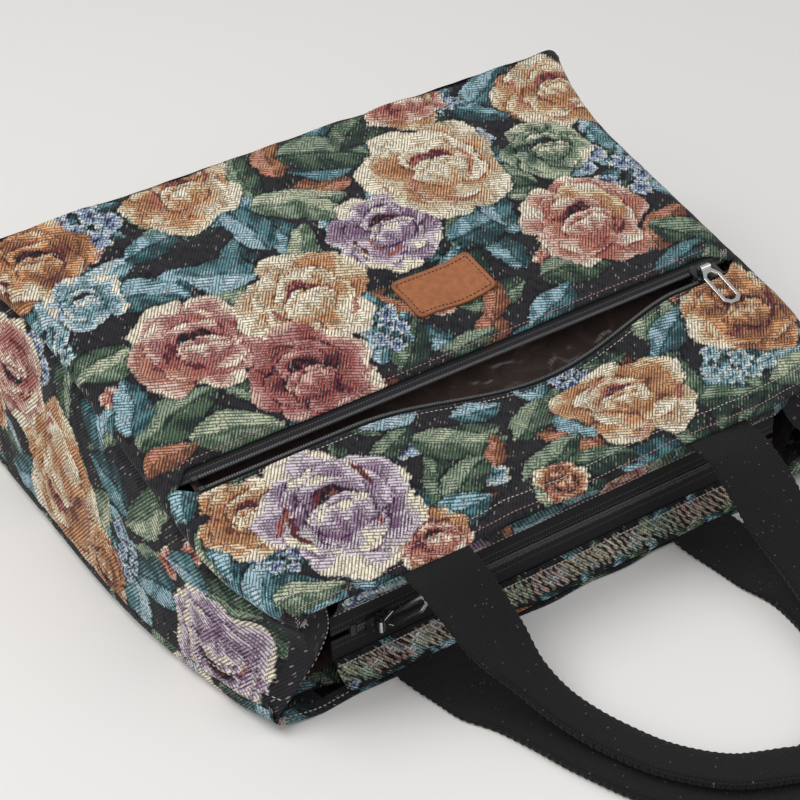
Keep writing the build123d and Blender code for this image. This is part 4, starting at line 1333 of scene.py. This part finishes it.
def make_tag():
    """The leather tag with a bare face, and its stitched border."""
    bm = bmesh.new()
    bmesh.ops.create_grid(bm, x_segments=2, y_segments=2, size=0.5)
    bmesh.ops.scale(bm, vec=(TAG_LENGTH, TAG_WIDTH, 1.0), verts=bm.verts)
    corners = [v for v in bm.verts if len(v.link_edges) == 2]
    bmesh.ops.bevel(bm, geom=corners, offset=TAG_CORNER, offset_type="OFFSET", affect="VERTICES", segments=6,
                    profile=0.5, material=-1)
    made = bmesh.ops.extrude_face_region(bm, geom=bm.faces[:])
    raised = [item for item in made["geom"] if isinstance(item, bmesh.types.BMVert)]
    bmesh.ops.translate(bm, vec=(0.0, 0.0, TAG_THICK), verts=raised)
    rim = [edge for edge in bm.edges if all(v.co.z > 0.5 * TAG_THICK for v in edge.verts)
           and any(abs(face.normal.z) < 0.5 for face in edge.link_faces)]
    bmesh.ops.bevel(bm, geom=rim, offset=0.4 * MM, offset_type="OFFSET", affect="EDGES", segments=3, profile=0.5,
                    material=-1)
    bmesh.ops.triangulate(bm, faces=bm.faces)
    for _ in range(3):
        long_edges = [edge for edge in bm.edges if edge.calc_length() > 2.2 * MM]
        bmesh.ops.subdivide_edges(bm, edges=long_edges, cuts=1)
        bmesh.ops.triangulate(bm, faces=bm.faces)
    bmesh.ops.recalc_face_normals(bm, faces=bm.faces)
    mesh = mesh_of(bm, "leather_plate")
    spots = mesh_points(mesh)
    add_cloth_places(mesh, spots[:, 0], spots[:, 1])
    groove = stitch_groove(spots[:, 0], spots[:, 1]) * (spots[:, 2] > 0.8 * TAG_THICK)
    move_points(mesh, tag_spot(spots[:, 0], spots[:, 1], spots[:, 2] + 0.1 * MM - groove * 0.3 * MM))
    finish_piece(mesh, "leather_plate", material("leather"), ("leather_tag",))
    border = []
    across = TAG_LENGTH / 2 - TAG_INSET
    up = TAG_WIDTH / 2 - TAG_INSET
    loop = [(-across, -up), (across, -up), (across, up), (-across, up)]
    for start, end in zip(loop, loop[1:] + loop[:1]):
        count = int(math.dist(start, end) / TAG_STITCH)
        for k in range(count):
            border.append([(start[n] + (end[n] - start[n]) * (k + share) / count) for share in (0.18, 0.82)
                           for n in (0, 1)])
    border = np.array(border)
    lift = np.full(len(border), TAG_THICK + 0.12 * MM)
    stitches("tag_stitching", tag_spot(border[:, 0], border[:, 1], lift), tag_spot(border[:, 2], border[:, 3], lift),
             0.36 * MM, "dark_thread")


def stitch_groove(x, y):
    """Where the leather sinks under its border stitches, from 0 to 1."""
    away = np.minimum(np.abs(np.abs(x) - (TAG_LENGTH / 2 - TAG_INSET)),
                      np.abs(np.abs(y) - (TAG_WIDTH / 2 - TAG_INSET)))
    within = (np.abs(x) < TAG_LENGTH / 2 - 1.6 * MM) & (np.abs(y) < TAG_WIDTH / 2 - 1.6 * MM)
    return np.exp(-(away / (0.7 * MM)) ** 2) * within


def stitches(name, starts, ends, radius, material_name):
    """Small thread stitches between pairs of points, as one mesh."""
    bm = bmesh.new()
    for start, end in zip(starts, ends):
        start = Vector(start)
        end = Vector(end)
        run = end - start
        turn = run.to_track_quat("X", "Z").to_matrix().to_4x4()
        shape = Matrix.Diagonal((run.length / 2 + radius * 0.5, radius, radius, 1.0))
        place = Matrix.Translation((start + end) / 2) @ turn @ shape
        bmesh.ops.create_icosphere(bm, subdivisions=1, radius=1.0, matrix=place)
    finish_piece(mesh_of(bm, name), name, material(material_name))


def stitch_row(name, spot, start, end, pitch, fill, radius, thread, seed):
    """A row of stitches along spot(s) for s from start to end."""
    rng = random.Random(seed)
    count = int(abs(end - start) / pitch)
    marks = np.linspace(start, end, count + 1)[:-1]
    step = (end - start) / count
    jitter = np.array([rng.uniform(-0.06, 0.06) for _ in marks]) * step
    first = spot(marks + jitter)
    last = spot(marks + jitter + step * fill)
    stitches(name, first, last, radius, thread)


def frayed_ends(name, root, count, length, toward, seed):
    """A tuft of loose thread ends at a cut edge."""
    rng = random.Random(seed)

    def astray(amount):
        return Vector([rng.uniform(-amount, amount) for _ in range(3)])

    starts, ends = [], []
    for _ in range(count):
        start = Vector(root) + astray(1.6 * MM)
        way = (Vector(toward) + astray(0.7)).normalized()
        middle = start + way * length * rng.uniform(0.25, 0.5)
        tip = middle + (way + astray(0.7)).normalized() * length * rng.uniform(0.3, 0.5)
        for spot in (start, middle, tip):
            spot.z = max(spot.z, TABLE_Z + 0.3 * MM)
        starts += [start, middle]
        ends += [middle, tip]
    stitches(name, starts, ends, FRAY_RADIUS, "white_thread")


def beside(place, a, b, shift):
    """A place function's points, moved a little off the cloth."""
    points, _, _ = place(a, b)
    return np.array(points) + np.array(shift)


def lower_row(from_mouth=None, from_zip=None):
    """Along the lower front panel, at a distance from the mouth or from the zip's edge."""
    def spot(s):
        end = POCKET_H - slot_half(s)
        height = np.full_like(s, from_mouth) if from_zip is None else end - from_zip
        b = (height + LOWER_HEM) / (end + LOWER_TURN + LOWER_HEM)
        return beside(lower_panel, (s / front_length(height) + 1) / 2, b, (0.0, 0.0, STITCH_LIFT))
    return spot


def upper_row(from_zip):
    """Along the upper front panel, at a distance from the zip's edge."""
    def spot(s):
        start = POCKET_H + upper_slot(s)
        b = (from_zip + UPPER_TURN) / (HEIGHT - start + UPPER_TURN)
        return beside(upper_panel, (s / front_length(start + from_zip) + 1) / 2, b, (0.0, 0.0, STITCH_LIFT))
    return spot


def facing_row(upper, share):
    """Along a facing, at a share of its width."""
    def spot(s):
        a = (s / MAIN_TAPE_HALF + 1) / 2
        return beside(facing_place(upper), a, np.full_like(s, share), (0.0, -0.4 * MM, 0.0))
    return spot


def back_row(s):
    """Along the back cloth's hem at the mouth."""
    a = (s / (half_back(0.0) + 4.0 * MM) + 1) / 2
    return beside(back_cloth, a, np.full_like(s, 12.0 / 304.0), (0.0, 0.0, 2.0 * MM))


def flap_row(s):
    """Down the left gusset's turned-in edge."""
    return beside(gusset_panel(-1), np.full_like(s, 1.4 / 314.0), s, (0.0, -0.7 * MM, 0.0))


def seam_row(s):
    """Along the left gusset above its lower seam."""
    return beside(gusset_panel(-1), (s + FLAP) / (HEIGHT + FLAP), np.full_like(s, 0.82), (-0.4 * MM, 0.0, 0.0))


def make_stitching():
    """The visible rows of stitches along the hems and the zips, and the frayed ends."""
    rows = (
        (0, "hem_row_outer", lower_row(from_mouth=2.2 * MM), -0.163, 0.163, 2.4 * MM, 0.62, 0.5, "pink_thread"),
        (1, "hem_row_inner", lower_row(from_mouth=10.2 * MM), -0.165, 0.165, 2.6 * MM, 0.62, 0.5, "white_thread"),
        (2, "zip_row_lower", lower_row(from_zip=2.4 * MM), -0.166, 0.166, 2.7 * MM, 0.62, 0.5, "white_thread"),
        (3, "zip_row_upper", upper_row(2.4 * MM), -0.166, 0.166, 2.7 * MM, 0.62, 0.5, "pink_thread"),
        (11, "back_edge_row", back_row, -0.17, 0.17, 2.6 * MM, 0.66, 0.5, "white_thread"),
        (12, "facing_row_front", facing_row(True, 0.86), -0.137, 0.137, 2.6 * MM, 0.6, 0.5, "white_thread"),
        (13, "facing_row_back", facing_row(False, 0.14), -0.137, 0.137, 2.2 * MM, 0.75, 0.75, "white_thread"),
        (14, "gusset_hem_row", flap_row, 0.02, 0.95, 0.045, 0.6, 0.5, "white_thread"),
        (15, "gusset_low_row", seam_row, 0.003, 0.075, 3.0 * MM, 0.66, 0.5, "white_thread"),
    )
    for seed, name, spot, start, end, pitch, fill, thick, thread in rows:
        stitch_row(name, spot, start, end, pitch, fill, chosen().thread * thick, thread, seed)
    zip_end = pocket_spot(np.array([171.0 * MM]), np.array([6.0 * MM]), np.array([2.6 * MM]))[0]
    mouth_corner = to_world(3.0 * MM - half_front(0.0), 1.5 * MM, MOUTH_DEPTH - 4.5 * MM)
    back_corner = to_world(5.0 * MM - half_back(0.0), 1.0 * MM, 5.0 * MM)
    frayed_ends("zip_end_knot", zip_end, 16, 3.0 * MM, (0.3, 0.2, 0.4), 21)
    frayed_ends("mouth_corner_fray", mouth_corner, 110, 2.8 * MM, (0.1, -0.5, 0.5), 22)
    frayed_ends("back_corner_fray", back_corner, 60, 4.5 * MM, (-0.3, -0.8, 0.1), 23)


def look_matrix():
    """The camera's turn, from its yaw, pitch and roll."""
    yaw, pitch, roll = CAMERA_YAW, CAMERA_PITCH, CAMERA_ROLL
    ahead = Vector((math.sin(yaw) * math.cos(pitch), math.cos(yaw) * math.cos(pitch), -math.sin(pitch)))
    level = Vector((math.cos(yaw), -math.sin(yaw), 0.0))
    sunk = ahead.cross(level)
    right = math.cos(roll) * level + math.sin(roll) * sunk
    down = -math.sin(roll) * level + math.cos(roll) * sunk
    return Matrix((right, -down, -ahead)).transposed().to_4x4()


def make_stage(size):
    """The floor, the lights and the camera."""
    bm = bmesh.new()
    bmesh.ops.create_grid(bm, x_segments=2, y_segments=2, size=size)
    mesh = mesh_of(bm, "table_top")
    mesh.materials.append(material("table"))
    floor = bpy.data.objects.new("table_top", mesh)
    bpy.context.scene.collection.objects.link(floor)

    for name, place, width, power, color in LAMPS:
        data = bpy.data.lights.new(name, "AREA")
        data.shape = "DISK"
        data.size = width
        data.energy = power
        data.color = color
        lamp = bpy.data.objects.new(name, data)
        lamp.location = place
        lamp.rotation_euler = (Vector((0.0, 0.0, 0.05)) - Vector(place)).to_track_quat("-Z", "Y").to_euler()
        bpy.context.scene.collection.objects.link(lamp)

    world = bpy.data.worlds.new("soft_room")
    world.use_nodes = True
    background = world.node_tree.nodes["Background"]
    background.inputs["Color"].default_value = ROOM_COLOR
    background.inputs["Strength"].default_value = ROOM_STRENGTH
    bpy.context.scene.world = world

    data = bpy.data.cameras.new("camera")
    data.sensor_width = SENSOR
    data.lens = SENSOR * FOCAL_PIXELS / PICTURE
    data.clip_start = 0.01
    camera = bpy.data.objects.new("camera", data)
    place = Vector(CAMERA_PLACE) + Vector((0.0, MOUTH_Y, TABLE_Z))
    camera.matrix_world = Matrix.Translation(place) @ look_matrix()
    bpy.context.scene.collection.objects.link(camera)
    bpy.context.scene.camera = camera
    bpy.context.scene.view_settings.view_transform = "Standard"


class ToteSettings(bpy.types.PropertyGroup):
    """Sizes and colours that a user may change."""

    stage_size: bpy.props.FloatProperty(name="Table size", description="Half the width of the table top", default=6.0,
                                        min=1.0, unit="LENGTH")
    gape_drop: bpy.props.FloatProperty(name="Pocket sag", description="How far the pocket's lower edge hangs down",
                                       default=GAPE_DROP, min=0.0, max=0.02, unit="LENGTH")
    gape_back: bpy.props.FloatProperty(name="Pocket gape", description="How far the pocket's lower edge stands away",
                                       default=GAPE_BACK, min=0.0, max=0.015, unit="LENGTH")
    thread: bpy.props.FloatProperty(name="Thread thickness", description="Thickness of the sewing thread",
                                    default=THREAD, min=0.0002, max=0.002, unit="LENGTH")
    leather: bpy.props.FloatVectorProperty(name="Leather", description="Colour of the leather tag", subtype="COLOR",
                                           default=(0.430, 0.150, 0.055), min=0.0, max=1.0)
    webbing: bpy.props.FloatVectorProperty(name="Webbing", description="Colour of the handles' webbing",
                                           subtype="COLOR", default=(0.016, 0.0155, 0.0175), min=0.0, max=1.0)
    satin: bpy.props.FloatVectorProperty(name="Lining", description="Colour of the lining's satin", subtype="COLOR",
                                         default=(0.095, 0.062, 0.050), min=0.0, max=1.0)
    metal: bpy.props.FloatVectorProperty(name="Pulls", description="Colour of the nickel pulls", subtype="COLOR",
                                         default=(0.80, 0.79, 0.76), min=0.0, max=1.0)
    table: bpy.props.FloatVectorProperty(name="Table", description="Colour of the table top", subtype="COLOR",
                                         default=(0.80, 0.785, 0.765), min=0.0, max=1.0)


class ToteStage(bpy.types.Operator):
    """Make the table, the lights and the camera"""

    bl_idname = "tote.stage"
    bl_label = "Stage"

    def execute(self, context):
        make_stage(context.scene.tote_settings.stage_size)
        return {"FINISHED"}


class ToteWalls(bpy.types.Operator):
    """Make the six panels of tapestry cloth"""

    bl_idname = "tote.walls"
    bl_label = "Cloth walls"

    def execute(self, context):
        make_walls()
        return {"FINISHED"}


class ToteMouth(bpy.types.Operator):
    """Make the facings in the mouth"""

    bl_idname = "tote.mouth"
    bl_label = "Mouth facings"

    def execute(self, context):
        make_mouth()
        return {"FINISHED"}


class ToteZips(bpy.types.Operator):
    """Make the tapes and rows of both zips and finish the sliders"""

    bl_idname = "tote.zips"
    bl_label = "Zips"

    def execute(self, context):
        make_zips()
        return {"FINISHED"}


class ToteLinings(bpy.types.Operator):
    """Make the linings"""

    bl_idname = "tote.linings"
    bl_label = "Linings"

    def execute(self, context):
        make_linings()
        return {"FINISHED"}


class ToteHandles(bpy.types.Operator):
    """Make the webbing handles"""

    bl_idname = "tote.handles"
    bl_label = "Handles"

    def execute(self, context):
        make_handles()
        return {"FINISHED"}


class ToteTag(bpy.types.Operator):
    """Make the leather tag"""

    bl_idname = "tote.tag"
    bl_label = "Leather tag"

    def execute(self, context):
        make_tag()
        return {"FINISHED"}


class ToteStitching(bpy.types.Operator):
    """Make the visible rows of stitches"""

    bl_idname = "tote.stitching"
    bl_label = "Stitching"

    def execute(self, context):
        make_stitching()
        return {"FINISHED"}


class TotePanel(bpy.types.Panel):
    """Lists the bag's pieces"""

    bl_idname = "VIEW3D_PT_tote"
    bl_label = "Tote bag"
    bl_space_type = "VIEW_3D"
    bl_region_type = "UI"
    bl_category = "Tote"

    def draw(self, context):
        for key in ToteSettings.__annotations__:
            self.layout.prop(context.scene.tote_settings, key)
        for operator in OPERATORS:
            self.layout.operator(operator.bl_idname)


OPERATORS = (ToteStage, ToteWalls, ToteMouth, ToteZips, ToteLinings, ToteHandles, ToteTag, ToteStitching)
CLASSES = (ToteSettings, *OPERATORS, TotePanel)


def register():
    for item in CLASSES:
        bpy.utils.register_class(item)
    bpy.types.Scene.tote_settings = bpy.props.PointerProperty(type=ToteSettings)


def unregister():
    del bpy.types.Scene.tote_settings
    for item in reversed(CLASSES):
        bpy.utils.unregister_class(item)


def main():
    """Makes every piece in order."""
    register()
    for operator in OPERATORS:
        family, name = operator.bl_idname.split(".")
        if getattr(getattr(bpy.ops, family), name)() != {"FINISHED"}:
            raise RuntimeError(f"{operator.bl_label} wasn't made")


if __name__ == "__main__":
    main()
